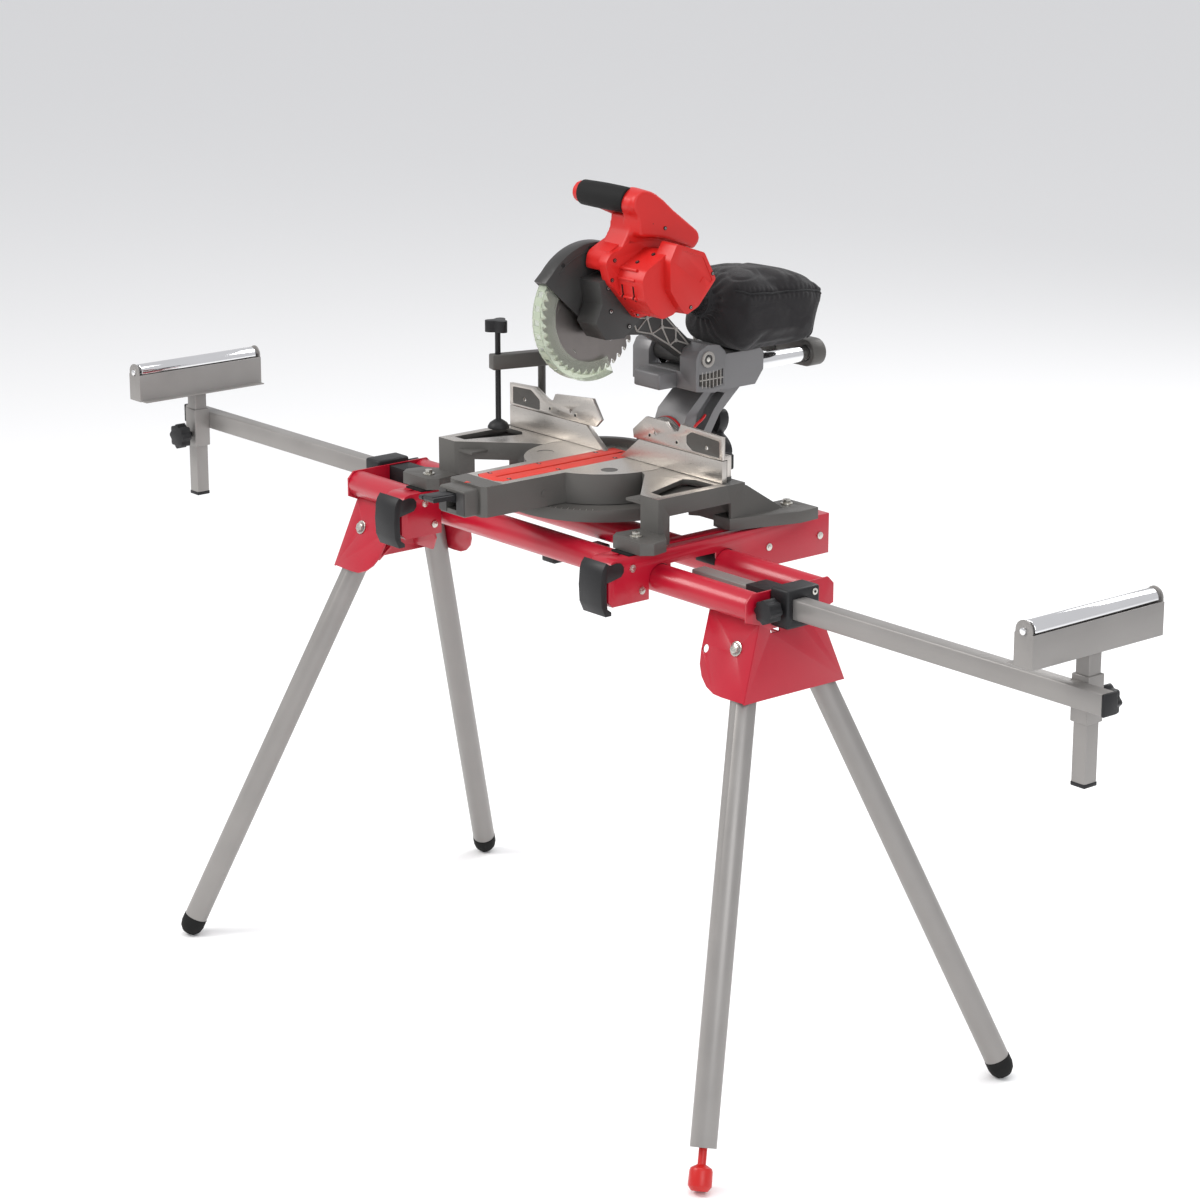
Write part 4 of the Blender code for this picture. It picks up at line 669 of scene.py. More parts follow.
# --- legs
for side, sx in (("left", -1), ("right", 1)):
    for end, sy in (("front", -1), ("rear", 1)):
        m = splay_matrix(sx, sy)
        d = Vector((math.sin(LEAN), 0, -math.cos(LEAN)))
        foot_l = 0.030
        adjustable = side == "right" and end == "front"
        tube_end = LEG_LEN - (0.060 if adjustable else foot_l)
        leg = rod(f"{end}_{side}_leg", -d * 0.020, d * tube_end, LEG_R, 20, "grey_paint")
        if adjustable:
            cut(leg, rod("c", -d * 0.03, d * (tube_end - 0.012), LEG_R - 0.0018, 14), rod("c", d * (tube_end - 0.03), d * (tube_end + 0.01), 0.0066, 14))
        else:
            cut(leg, rod("c", -d * 0.03, d * (tube_end + 0.01), LEG_R - 0.0018, 14))
        # pivot bolt through both cheeks, with its head outside and nut inside, and the spring lock button
        join(leg, rod("c", (0, -0.0275, 0), (0, 0.0265, 0), 0.0045, 12), rod("c", (0, 0.0240, 0), (0, 0.0272, 0), 0.0085, 12), rod("c", (0, -0.0280, 0), (0, -0.0240, 0), 0.0075, 6))
        bl = d * 0.061
        join(leg, rod("c", bl + Vector((0, 0.012, 0)), bl + Vector((0, 0.0195, 0)), 0.0045, 10))
        flip_if_needed(leg, m)
        paint(leg, "grey_paint")
        if adjustable:
            ft = lathe(f"{end}_{side}_foot", [(0, 0), (0.0060, 0), (0.0060, -0.045), (0.0150, -0.050), (0.0165, -0.054), (0.0170, -0.075), (0.0120, -0.082), (0, -0.082)], d * (tube_end - 0.022), (-d.x, 0, -d.z), 16, "red_plastic")
            flip_if_needed(ft, m)
        else:
            ft = lathe(f"{end}_{side}_foot", [(0, 0.022), (0.0165, 0.022), (0.0165, 0), (0.0196, 0), (0.0196, -0.014), (0.0175, -0.0225), (0.012, -0.0297), (0, -0.0297)], d * (tube_end + 0.0003), (-d.x, 0, -d.z), 16, "rubber")
            flip_if_needed(ft, m)

# --- extension bars, posts, roller brackets, rollers, knobs
for side, sx in (("left", -1), ("right", 1)):
    by = -sx * BAR_Y
    zc = BEAM_Z
    post_y = by + sx * (BAR_W / 2 + 0.0150)
    bar = box(f"{side}_extension_bar", (min(sx * BAR_IN, sx * BAR_OUT), by - BAR_W / 2, zc - BAR_H / 2), (max(sx * BAR_IN, sx * BAR_OUT), by + BAR_W / 2, zc + BAR_H / 2), "grey_paint", 0.0025)
    # hollow from the inner end; the outer end is plugged
    cut(bar, box("c", (min(sx * (BAR_IN - 0.02), sx * (BAR_OUT - 0.006)), by - BAR_W / 2 + BAR_T, zc - BAR_H / 2 + BAR_T), (max(sx * (BAR_IN - 0.02), sx * (BAR_OUT - 0.006)), by + BAR_W / 2 - BAR_T, zc + BAR_H / 2 - BAR_T)))
    X = sx * SUPPORT_X
    sl = box("c", (X - 0.0152, post_y - 0.0152, 0.724), (X + 0.0152, post_y + 0.0152, 0.790), None, 0.0015)
    join(bar, sl)
    cut(bar, box("c", (X - POST / 2 - 0.0004, post_y - POST / 2 - 0.0004, 0.70), (X + POST / 2 + 0.0004, post_y + POST / 2 + 0.0004, 0.81)))
    kf = post_y + sx * 0.0152
    kz = 0.745
    cut(bar, rod("c", (X, kf - sx * 0.006, kz), (X, kf + sx * 0.004, kz), 0.0045, 12))
    paint(bar, "grey_paint")
    kn = plate(f"{side}_support_knob", [[(X + (0.0200 + 0.0018 * math.cos(8 * a)) * math.cos(a), kz + (0.0200 + 0.0018 * math.cos(8 * a)) * math.sin(a)) for a in [2 * math.pi * i / 96 for i in range(96)]]],
               "xz", kf + sx * 0.012, kf + sx * 0.030, "black_plastic")
    join(kn, rod("c", (X, kf - sx * 0.0020, kz), (X, kf + sx * 0.014, kz), 0.0040, 12), rod("c", (X, kf + sx * 0.004, kz), (X, kf + sx * 0.0125, kz), 0.009, 14))
    paint(kn, "black_plastic")
    r_z = SZ + TABLE - ROLLER_R
    post = box(f"{side}_support_post", (X - POST / 2, post_y - POST / 2, 0.636), (X + POST / 2, post_y + POST / 2, r_z - 0.0505), "grey_paint", 0.0018)
    cut(post, box("c", (X - POST / 2 + 0.002, post_y - POST / 2 + 0.002, 0.642), (X + POST / 2 - 0.002, post_y + POST / 2 - 0.002, r_z - 0.04)))
    paint(post, "grey_paint")
    # roller bracket: a pressed channel open at the top, with ears at both ends and a lip towards the saw
    b0, b1 = r_z - 0.0500, r_z - 0.0035
    yc = post_y
    br = box(f"{side}_roller_bracket", (X - 0.0165, yc - 0.126, b0), (X + 0.0165, yc + 0.126, b1), "grey_paint", 0.001)
    cut(br, box("c", (X - 0.0150, yc - 0.1235, b0 + 0.002), (X + 0.0150, yc + 0.1235, b1 + 0.02)))
    for e in (-1, 1):
        ear = plate("c", [circle(X, r_z, 0.0145, 16, 0, math.pi) + [(X - 0.0145, b1 - 0.004), (X + 0.0145, b1 - 0.004)]], "xz", yc + e * 0.1237, yc + e * 0.1258)
        join(br, ear)
    lip = box("c", (min(X - sx * 0.010, X - sx * 0.030), yc - 0.122, b0), (max(X - sx * 0.010, X - sx * 0.030), yc + 0.122, b0 + 0.0018))
    join(br, lip)
    cut(br, rod("c", (X, yc - 0.14, r_z), (X, yc + 0.14, r_z), 0.0053, 12))
    paint(br, "grey_paint")
    ro = rod(f"{side}_roller", (X, yc - ROLLER_HALF, r_z), (X, yc + ROLLER_HALF, r_z), ROLLER_R, 28, "chrome", bevel=0.0008)
    join(ro, rod("c", (X, yc - 0.1285, r_z), (X, yc + 0.1285, r_z), 0.0050, 12))
    paint(ro, "chrome")

# --- mounting arms (quick-release brackets) and their levers
for side, sx in (("left", -1), ("right", 1)):
    X = sx * ARM_X
    arch = lambda yc: [(yc + 0.0222 * math.cos(a), BEAM_Z + 0.0222 * math.sin(a)) for a in [math.pi * i / 24 for i in range(25)]]
    z_r, z_f = 0.7480, 0.7400
    prof = [(0.274, ARM_TOP), (-0.1470, ARM_TOP), (-0.1550, 0.8079), (-0.1609, 0.8020), (-0.1630, 0.7940), (-0.1630, 0.7480), (-0.156, z_f), (-0.0862, z_f)]
    prof += [(-BEAM_Y - 0.0222, BEAM_Z)] + [(y, z) for y, z in reversed(arch(-BEAM_Y))][1:-1] + [(-BEAM_Y + 0.0222, BEAM_Z), (-BEAM_Y + 0.0222, 0.756)]
    prof += [(BEAM_Y - 0.0222, 0.756), (BEAM_Y - 0.0222, BEAM_Z)] + [(y, z) for y, z in reversed(arch(BEAM_Y))][1:-1] + [(BEAM_Y + 0.0222, BEAM_Z), (BEAM_Y + 0.0222, z_r), (0.274, z_r)]
    arm = plate(f"{side}_mounting_arm", [prof], "yz", X - 0.022, X + 0.022, "red_paint")
    # hollow channel, open underneath and behind; it clears the extension bars
    cut(arm, box("c", (X - 0.0192, -0.150, 0.70), (X + 0.0192, 0.290, 0.8070)))
    cut(arm, box("c", (X - 0.03, -0.0445, 0.70), (X + 0.03, 0.0445, 0.7875)))
    # slots in the top for the saw's bolts
    for y0, y1 in ((-0.130, -0.060), (-0.030, 0.150), (0.170, 0.245)):
        cut(arm, box("c", (X - 0.0042, y0, 0.80), (X + 0.0042, y1, 0.82)))
    # grip pads under the saw's feet
    for y in (-0.093, 0.206):
        p = box("c", (X - 0.0200, y - 0.030, ARM_TOP - 0.001), (X + 0.0200, y + 0.030, ARM_TOP + PAD), None, 0.0008)
        cut(p, rod("c", (X, y, 0.79), (X, y, 0.83), 0.0046, 12))
        join(arm, p)
    paint(arm, "red_paint")
    # the lever: a curved black cam handle round the arm's nose, on a pin through the arm's cheeks
    PY, PZ = -0.1470, 0.7940
    pol = lambda r, a: (PY + r * math.cos(math.radians(a)), PZ + r * math.sin(math.radians(a)))
    strap = [pol(0.0270, 146), pol(0.0290, 163), pol(0.0310, 180), (-0.1800, 0.7700), (-0.1785, 0.7450), (-0.1710, 0.7290), (-0.1600, 0.7290), (-0.1600, 0.7345), (-0.1672, 0.7400), (-0.1690, 0.7550), (-0.1690, 0.7800), pol(0.0200, 180), pol(0.0180, 163), pol(0.0172, 146)]
    lv = plate(f"{side}_arm_lever", [strap], "yz", X - 0.0250, X + 0.0250, "black_plastic")
    for e in (-1, 1):
        ear = [(-0.1720, 0.8020), (-0.1750, 0.7780), (-0.1600, 0.7800)] + [pol(0.0115, a) for a in (-60, -20, 20, 60, 100)] + [(-0.1620, 0.8040)]
        join(lv, plate("c", [ear], "yz", min(X + e * 0.0224, X + e * 0.0246), max(X + e * 0.0224, X + e * 0.0246)))
    cut(arm, rod("c", (X - 0.03, PY, PZ), (X + 0.03, PY, PZ), 0.0039, 12))
    join(lv, rod("c", (X - 0.0235, PY, PZ), (X + 0.0235, PY, PZ), 0.0034, 12))
    paint(lv, "black_plastic")

# ================================================================ SAW (saw frame: turntable centre, feet at z = 0)
SAW = []


def saw(o):
    SAW.append(o)
    return o


# --- base casting
def wing(s):
    w = [(0.100, 0.028), (0.120, 0.028), (0.165, 0.058), (0.262, 0.058), (0.262, -0.112), (0.222, -0.112), (0.134, -0.028), (0.100, -0.010)]
    return w if s > 0 else mirror_x(w)


base = rod("saw_base", (0, 0, 0.004), (0, 0, 0.0225), 0.150, 40, "cast_grey")
cut(base, rod("c", (0, 0, -0.01), (0, 0, 0.014), 0.140, 36))
for s in (-1, 1):
    w = plate("c", [wing(s)], "xy", 0.0, TABLE)
    inner = [(0.105, 0.023), (0.122, 0.023), (0.167, 0.052), (0.257, 0.052), (0.257, -0.107), (0.224, -0.107), (0.137, -0.020), (0.105, -0.004)]
    cut(w, plate("c", [inner if s > 0 else mirror_x(inner)], "xy", -0.01, TABLE - 0.007))
    # arch between the front and rear foot, and under the inner end
    cut(w, box("c", (min(s * 0.150, s * 0.30), -0.090, -0.01), (max(s * 0.150, s * 0.30), 0.030, 0.042)))
    cut(w, box("c", (min(s * 0.09, s * 0.1530), -0.13, -0.01), (max(s * 0.09, s * 0.1530), 0.07, 0.0040)))
    # hand-hold pocket in the top
    pk = [(0.190, -0.002), (0.206, 0.010), (0.247, 0.010), (0.247, -0.092), (0.222, -0.092)]
    cut(w, plate("c", [pk if s > 0 else mirror_x(pk)], "xy", TABLE - 0.012, TABLE + 0.01))
    floor = box("c", (min(s * 0.184, s * 0.2575), -0.1075, TABLE - 0.016), (max(s * 0.184, s * 0.2575), 0.016, TABLE - 0.012))
    join(w, floor)
    # front foot, rear foot and its sloping web
    ft = plate("c", [[(0.212, -0.150), (0.224, -0.166), (0.284, -0.166), (0.297, -0.150), (0.292, -0.122), (0.262, -0.100), (0.218, -0.100)]] if s > 0 else [mirror_x([(0.212, -0.150), (0.224, -0.166), (0.284, -0.166), (0.297, -0.150), (0.292, -0.122), (0.262, -0.100), (0.218, -0.100)])], "xy", 0, 0.018)
    fr = plate("c", [[(0.226, 0.028), (0.262, 0.028), (0.296, 0.140), (0.294, 0.178), (0.226, 0.178)]] if s > 0 else [mirror_x([(0.226, 0.028), (0.262, 0.028), (0.296, 0.140), (0.294, 0.178), (0.226, 0.178)])], "xy", 0, 0.018)
    web = plate("c", [[(0.050, 0.005), (0.050, 0.069), (0.062, 0.064), (0.135, 0.018), (0.135, 0.005)]], "yz", min(s * 0.254, s * 0.262), max(s * 0.254, s * 0.262))
    join(w, ft, fr, web)
    cut(w, rod("c", (s * 0.248, -0.143, -0.01), (s * 0.248, -0.143, 0.03), 0.0046, 14), rod("c", (s * 0.248, 0.156, -0.01), (s * 0.248, 0.156, 0.03), 0.0046, 14))
    # relief behind the fence's face, so that the front land is clear
    cut(w, box("c", (min(s * 0.09, s * 0.27), 0.0212, TABLE - 0.0006), (max(s * 0.09, s * 0.27), 0.070, TABLE + 0.01)))
    # recess for the turntable disc
    cut(w, rod("c", (0, 0, 0.0228), (0, 0, 0.10), TURN_R + 0.0012, 40))
    join(base, w)
cut(base, rod("c", (0, 0, -0.01), (0, 0, 0.05), 0.0085, 16))
saw(paint(base, "cast_grey"))

# --- turntable with its arm and the bevel bracket at the back
tt = rod("turntable", (0, 0, 0.0236), (0, 0, TABLE), TURN_R, 44, "machined")
cut(tt, rod("c", (0, 0, 0.01), (0, 0, 0.058), TURN_R - 0.006, 40))
arm_o = [(-0.046, -0.100), (-0.043, -0.255), (-0.036, -0.262), (0.036, -0.262), (0.043, -0.255), (0.046, -0.100)]
ta = plate("c", [arm_o], "xy", 0.0236, TABLE)
cut(ta, plate("c", [[(-0.040, -0.09), (-0.038, -0.252), (0.038, -0.252), (0.040, -0.09)]], "xy", 0.01, TABLE - 0.012))
front_box = box("c", (-0.030, -0.288, 0.0255), (0.030, -0.255, 0.0660), None, 0.003)
hub = rod("c", (0, 0, 0.006), (0, 0, 0.040), 0.0070, 14)
rib = box("c", (-0.1150, -0.0120, 0.0300), (0.1150, 0.0120, 0.0460))
brk = box("c", (-0.036, 0.100, 0.0250), (0.036, 0.1284, TABLE - 0.002))
disc = rod("c", (0, 0.1050, TABLE), (0, 0.1285, TABLE), 0.0400, 26)
join(tt, ta, front_box, rib, hub, brk, disc)
# recess for the kerf plate and the blade slot, lever slot in the front box
cut(tt, plate("c", [[(-0.0305, -0.2155), (-0.0305, 0.0500), (0.0305, 0.0500), (0.0305, -0.2155), (0.0180, -0.2235), (-0.0180, -0.2235)]], "xy", TABLE - 0.0045, TABLE + 0.01))
cut(tt, box("c", (-0.0230, -0.205, 0.0475), (0.0230, 0.046, TABLE + 0.01)))
cut(tt, box("c", (-0.0125, -0.30, 0.0340), (0.0125, -0.245, 0.0600)))
cut(tt, rod("c", (0, 0.0985, TABLE), (0, 0.15, TABLE), 0.0085, 14))
cut(tt, box("c", (-0.125, 0.0212, TABLE - 0.0006), (0.125, 0.0960, TABLE + 0.003)))
saw(paint(tt, "machined"))

kp = plate("kerf_plate", [[(-0.0300, -0.2150), (-0.0300, 0.0495), (0.0300, 0.0495), (0.0300, -0.2150), (0.0175, -0.2230), (-0.0175, -0.2230)],
                          [(-0.0068, -0.202), (0.0068, -0.202), (0.0068, 0.042), (-0.0068, 0.042)]], "xy", TABLE - 0.0042, TABLE + 0.0002, "kerf_red")
saw(kp)

# --- mitre lever: a thumb lever that pivots in the front box
ml = plate("mitre_lock_lever", [[(-0.258, 0.0500), (-0.258, 0.0420), (-0.272, 0.0400), (-0.300, 0.0500), (-0.331, 0.0520), (-0.335, 0.0570), (-0.331, 0.0610), (-0.292, 0.0600), (-0.272, 0.0535)]], "yz", -0.0112, 0.0112, "black_plastic", 0.001)
join(ml, rod("c", (-0.0112, -0.266, 0.0460), (0.0112, -0.266, 0.0460), 0.0062, 14))
for e in (-1, 1):
    join(ml, plate("c", [[(-0.296, 0.0525), (-0.334, 0.0535), (-0.336, 0.0570), (-0.334, 0.0600), (-0.296, 0.0590)]], "yz", e * 0.0100, e * 0.0175))
saw(paint(ml, "black_plastic"))

# --- fixed fence: two low walls joined by a bridge behind the turntable
ff = None
for s in (-1, 1):
    pr = [(0.020, TABLE + 0.0005), (0.251, TABLE + 0.0005), (0.251, TABLE + 0.034), (0.062, TABLE + 0.034)]
    w = plate("c", [pr if s > 0 else mirror_x(pr)], "xz", 0.022, 0.031)
    bk = box("c", (min(s * 0.125, s * 0.245), 0.030, TABLE + 0.0005), (max(s * 0.125, s * 0.245), 0.046, TABLE + 0.008))
    join(w, bk)
    lug = box("c", (min(s * 0.050, s * 0.095), 0.0300, TABLE + 0.0005), (max(s * 0.050, s * 0.095), 0.0400, TABLE + 0.012))
    join(w, lug)
    if ff is None:
        ff = w
        ff.name = "v_fixed_fence"
    else:
        right = w
arc = [(0.083 * math.cos(a), 0.083 * math.sin(a)) for a in [math.radians(20 + 140 * i / 16) for i in range(17)]]
arc += [(0.071 * math.cos(a), 0.071 * math.sin(a)) for a in [math.radians(160 - 140 * i / 16) for i in range(17)]]
bridge = plate("c", [arc], "xy", TABLE + 0.0005, TABLE + 0.012)
join(ff, bridge, right)
saw(paint(ff, "machined"))

# --- sliding fences
for side, s in (("left", -1), ("right", 1)):
    if s > 0:
        o1 = [(0.251, 0.1050), (0.0500, 0.1050), (0.0480, 0.1180), (0.0780, 0.1420), (0.124, 0.1420), (0.131, 0.1350), (0.141, 0.1300), (0.152, 0.1320), (0.158, 0.1440), (0.251, 0.1400)]
        o1 = list(reversed(o1))
    else:
        o1 = [(-0.251, 0.1050), (-0.251, 0.1400), (-0.186, 0.1430), (-0.158, 0.1290), (-0.150, 0.1270), (-0.143, 0.1300), (-0.138, 0.1400), (-0.047, 0.1480), (-0.026, 0.1180), (-0.0400, 0.1050)]
    sf = plate(f"{side}_sliding_fence", [o1], "xz", 0.022, 0.0275, "machined")
    # foot that runs behind the fixed fence
    join(sf, box("c", (min(s * 0.160, s * 0.251), 0.0262, 0.1050), (max(s * 0.160, s * 0.251), 0.0400, 0.1110)))
    join(sf, box("c", (min(s * 0.165, s * 0.251), 0.0318, 0.0790), (max(s * 0.165, s * 0.251), 0.0400, 0.1080)))
    for hx in (0.100, 0.215):
        cut(sf, rod("c", (s * hx, 0.01, 0.118 if hx > 0.15 else 0.120), (s * hx, 0.0310, 0.118 if hx > 0.15 else 0.120), 0.0032, 12))
    saw(paint(sf, "machined"))

# knob that locks the right sliding fence
flk = rod("fence_lock_knob", (0.215, 0.0404, 0.092), (0.215, 0.0600, 0.092), 0.0045, 12, "black_plastic")
join(flk, box("c", (0.205, 0.0580, 0.080), (0.225, 0.0700, 0.104), None, 0.003))
saw(paint(flk, "black_plastic"))

# --- bevel arm: hub, leaning column and bearing head for the rails
ba = rod("bevel_arm", (0, 0.1290, TABLE), (0, 0.1600, TABLE), 0.0420, 26, "cast_grey")
col_p = [(0.150, 0.050), (0.178, 0.052), (0.192, 0.080), (0.212, 0.112), (0.240, 0.137), (0.265, 0.158), (0.278, 0.178), (0.278, 0.2040), (0.272, 0.2110), (0.196, 0.2110), (0.1915, 0.2050), (0.1915, 0.168), (0.178, 0.150), (0.1440, 0.120), (0.1300, 0.085)]
colm = plate("c", [col_p], "yz", -0.034, 0.034)
join(ba, colm)
head_b = plate("c", [[(0.1915, 0.1560), (0.262, 0.1560), (0.279, 0.1780), (0.279, 0.2050), (0.272, 0.2115), (0.1950, 0.2115), (0.1915, 0.2080)]], "yz", -0.060, 0.060)
join(ba, head_b)
for s in (-1, 1):
    cut(ba, rod("c", (s * 0.040, 0.15, 0.185), (s * 0.040, 0.30, 0.185), 0.0128, 20))
    # side pockets thin the column
    cut(ba, plate("c", [[(0.158, 0.085), (0.176, 0.085), (0.200, 0.120), (0.222, 0.143), (0.196, 0.150), (0.165, 0.118)]], "yz", min(s * 0.014, s * 0.040), max(s * 0.014, s * 0.040)))
join(ba, rod("c", (0, 0.1055, TABLE), (0, 0.135, TABLE), 0.0078, 14))
cut(ba, rod("c", (0, 0.150, TABLE), (0, 0.30, TABLE), 0.0062, 12))
saw(paint(ba, "cast_grey"))

# bevel lock: three-lobed hand nut at the back of the arm
lobes = []
for i in range(108):
    a = 2 * math.pi * i / 108
    lobes.append(((0.0270 + 0.0160 * math.cos(3 * a)) * math.sin(a + 0.35), TABLE + (0.0270 + 0.0160 * math.cos(3 * a)) * math.cos(a + 0.35)))
bk = plate("bevel_lock_knob", [lobes], "xz", 0.2240, 0.2420, "black_plastic")
join(bk, rod("c", (0, 0.1520, TABLE), (0, 0.230, TABLE), 0.0055, 12), rod("c", (0, 0.2000, TABLE), (0, 0.2260, TABLE), 0.013, 14))
saw(paint(bk, "black_plastic"))

# --- rails, carriage block and end cap
for side, s in (("left", -1), ("right", 1)):
    rl = rod(f"{side}_slide_rail", (s * 0.040, 0.1450, 0.185), (s * 0.040, 0.4000, 0.185), 0.0125, 24, "chrome")
    saw(rl)
ec = plate("rail_end_cap", [circle(0.040, 0.185, 0.0215, 12, -math.pi / 2, math.pi / 2) + circle(-0.040, 0.185, 0.0215, 12, math.pi / 2, 3 * math.pi / 2)], "xz", 0.386, 0.414, "cast_grey", 0.002)
for s in (-1, 1):
    cut(ec, rod("c", (s * 0.040, 0.37, 0.185), (s * 0.040, 0.4004, 0.185), 0.0128, 24))
saw(paint(ec, "cast_grey"))

cb_p = [(0.1265, 0.1640), (0.1650, 0.1580), (0.1880, 0.1640), (0.1890, 0.2090), (0.1860, 0.2200), (0.1740, 0.2310), (0.1500, 0.2340), (0.1330, 0.2260), (0.1265, 0.2140)]
cb = plate("carriage_block", [cb_p], "yz", -0.074, 0.074, "cast_grey")
for s in (-1, 1):
    cut(cb, rod("c", (s * 0.040, 0.1446, 0.185), (s * 0.040, 0.20, 0.185), 0.0128, 24))
# clevis gap for the pivot arm
cut(cb, box("c", (-0.0365, 0.115, 0.1905), (0.0365, 0.1700, 0.24)), box("c", (-0.0365, 0.100, 0.1905), (0.0365, 0.1700, 0.2300)))
cut(cb, rod("c", (-0.09, HEAD_PIVOT[0] - 0.006, HEAD_PIVOT[1]), (0.09, HEAD_PIVOT[0] - 0.006, HEAD_PIVOT[1]), 0.0066, 14))
# ribbed ends
for s in (-1, 1):
    cut(cb, plate("c", [[(0.133, 0.190), (0.133, 0.172), (0.160, 0.166), (0.182, 0.170), (0.182, 0.194), (0.160, 0.190)]], "yz", min(s * 0.062, s * 0.090), max(s * 0.062, s * 0.090)))
join(cb, box("c", (-0.030, 0.0900, 0.1640), (0.030, 0.1280, 0.1890), None, 0.003))
saw(paint(cb, "cast_grey"))

# --- head: pivot arm with gear case
HP = (HEAD_PIVOT[0] - 0.006, HEAD_PIVOT[1])
pa = plate("head_arm", [[(HP[0] + 0.012, HP[1] - 0.011), (HP[0] + 0.015, HP[1] + 0.004), (HP[0] + 0.006, HP[1] + 0.016), (0.118, 0.262), (0.090, 0.290), (0.050, 0.318), (0.005, 0.325), (-0.020, 0.318), (-0.038, 0.300), (-0.030, 0.278), (0.010, 0.262), (0.060, 0.256), (0.104, 0.232), (HP[0] - 0.0135, HP[1] - 0.003)]], "yz", 0.0125, 0.036, "cast_grey")
pa2 = plate("c", [circle(HP[0], HP[1], 0.0150, 16)], "yz", -0.0355, 0.0355)
gear = plate("c", [[(-0.058, 0.290), (-0.046, 0.318), (-0.052, 0.352), (-0.010, 0.362), (0.030, 0.330), (0.026, 0.286), (-0.004, 0.262), (-0.040, 0.264)]], "yz", 0.0121, 0.058)
join(pa, pa2, gear)
join(pa, rod("c", (-0.0730, HP[0], HP[1]), (0.0730, HP[0], HP[1]), 0.0062, 14))
cut(pa, rod("c", (0.0, BLADE_C[0], BLADE_C[1]), (0.050, BLADE_C[0], BLADE_C[1]), 0.0094, 16))
saw(paint(pa, "cast_grey"))

# --- upper blade guard: a drum segment open below, over the top of the blade
GC = BLADE_C


def sector(r, a0, a1, n):
    n = int(n * HI)
    return [(GC[0] + r * math.cos(math.radians(a0 + (a1 - a0) * i / (n - 1))), GC[1] + r * math.sin(math.radians(a0 + (a1 - a0) * i / (n - 1)))) for i in range(n)]


ug_out = sector(0.1085, 15, 140, 16) + [(-0.118, 0.352), (-0.060, 0.300), (-0.030, 0.275), (0.040, 0.275)]
ug = plate("upper_blade_guard", [ug_out], "yz", -0.0150, 0.0118, "cast_grey")
ug_in = sector(0.1045, 8, 150, 16) + [(-0.140, 0.345), (-0.062, 0.290), (-0.030, 0.262), (0.060, 0.262)]
cut(ug, plate("c", [ug_in], "yz", -0.0120, 0.0088))
cut(ug, rod("c", (-0.02, BLADE_C[0], BLADE_C[1]), (0.02, BLADE_C[0], BLADE_C[1]), 0.0330, 20))
saw(paint(ug, "cast_grey"))

# --- motor housing: shell over the motor, split from the handle
mh_p = [(-0.046, 0.3670), (-0.043, 0.3930), (-0.004, 0.4120), (0.040, 0.4120), (0.092, 0.3960), (0.118, 0.3600), (0.100, 0.3280), (0.060, 0.3300), (0.0340, 0.3340), (-0.010, 0.3660)]
mh = plate("motor_housing", [mh_p], "yz", 0.0180, 0.074, "red_plastic", 0.002)
mb = plate("c", [[(-0.050, 0.3660), (0.035, 0.3920), (0.062, 0.3400), (0.0300, 0.3040), (-0.0080, 0.2950)]], "yz", 0.0590, 0.112, None, 0.008)
lb = plate("c", [[(0.012, 0.3900), (0.045, 0.4100), (0.088, 0.3940), (0.108, 0.3500), (0.072, 0.3120), (0.048, 0.3020), (0.014, 0.3300)]], "yz", 0.0600, 0.140, None, 0.006)
join(mh, mb, lb)
# hollow for the motor, open to the gear case side
cut(mh, rod("c", (0.0450, 0.028, 0.3480), (0.1240, 0.028, 0.3480), 0.0270, 20))
saw(paint(mh, "red_plastic"))

mo = rod("motor", (0.0590, 0.028, 0.3480), (0.1235, 0.028, 0.3480), 0.0262, 20, "steel")
saw(mo)

# --- handle: D-shaped loop, split shell
th = math.radians(-29)      # the loop's plane, with the head up, falls towards the back


def hpt(x, u, w=0.0):
    """A point of the handle loop: x across, u back along the loop's plane from the grip, w above the plane."""
    return (x, 0.030 + u * math.cos(th) - w * math.sin(th), 0.470 + u * math.sin(th) + w * math.cos(th))


def slab(name, pts, w0, w1, mat=None, bevel=0.0):
    """An outline in the loop's plane (x, u), between two heights above it."""
    o = plate(name, [pts] if not isinstance(pts[0], list) else pts, "xy", w0, w1, mat, bevel)
    m = Matrix(((1, 0, 0, 0), (0, math.cos(th), -math.sin(th), 0.030), (0, math.sin(th), math.cos(th), 0.470), (0, 0, 0, 1)))
    o.data.transform(m)
    return o


loop_o = [(-0.052, -0.012), (-0.044, -0.0205), (0.068, -0.0205), (0.078, -0.010), (0.090, 0.040), (0.098, 0.100), (0.092, 0.132), (0.010, 0.132), (-0.022, 0.110), (-0.048, 0.050)]
loop_i = [(-0.034, 0.0195), (0.055, 0.0195), (0.064, 0.040), (0.066, 0.062), (0.000, 0.080), (-0.026, 0.050)]
hh = slab("handle_housing", [loop_o, loop_i], -0.0150, 0.0150, "red_plastic", 0.004)
stem = plate("c", [[(0.060, 0.4300), (0.130, 0.4000), (0.112, 0.3700), (0.0950, 0.3990), (0.0440, 0.4160), (0.0060, 0.4160), (0.020, 0.4360)]], "yz", 0.0200, 0.074, None, 0.0)
join(hh, stem)
# seat for the rubber grip and the trigger
cut(hh, slab("c", [(-0.0380, -0.030), (0.0600, -0.030), (0.0600, 0.0130), (-0.0380, 0.0130)], 0.0040, 0.030))
cut(hh, slab("c", [(-0.0380, -0.030), (0.0600, -0.030), (0.0600, -0.0125), (-0.0380, -0.0125)], -0.030, 0.030))
cut(hh, slab("c", [(-0.0100, -0.002), (0.0320, -0.002), (0.0320, 0.030), (-0.0100, 0.030)], -0.0080, 0.0010))
saw(paint(hh, "red_plastic"))

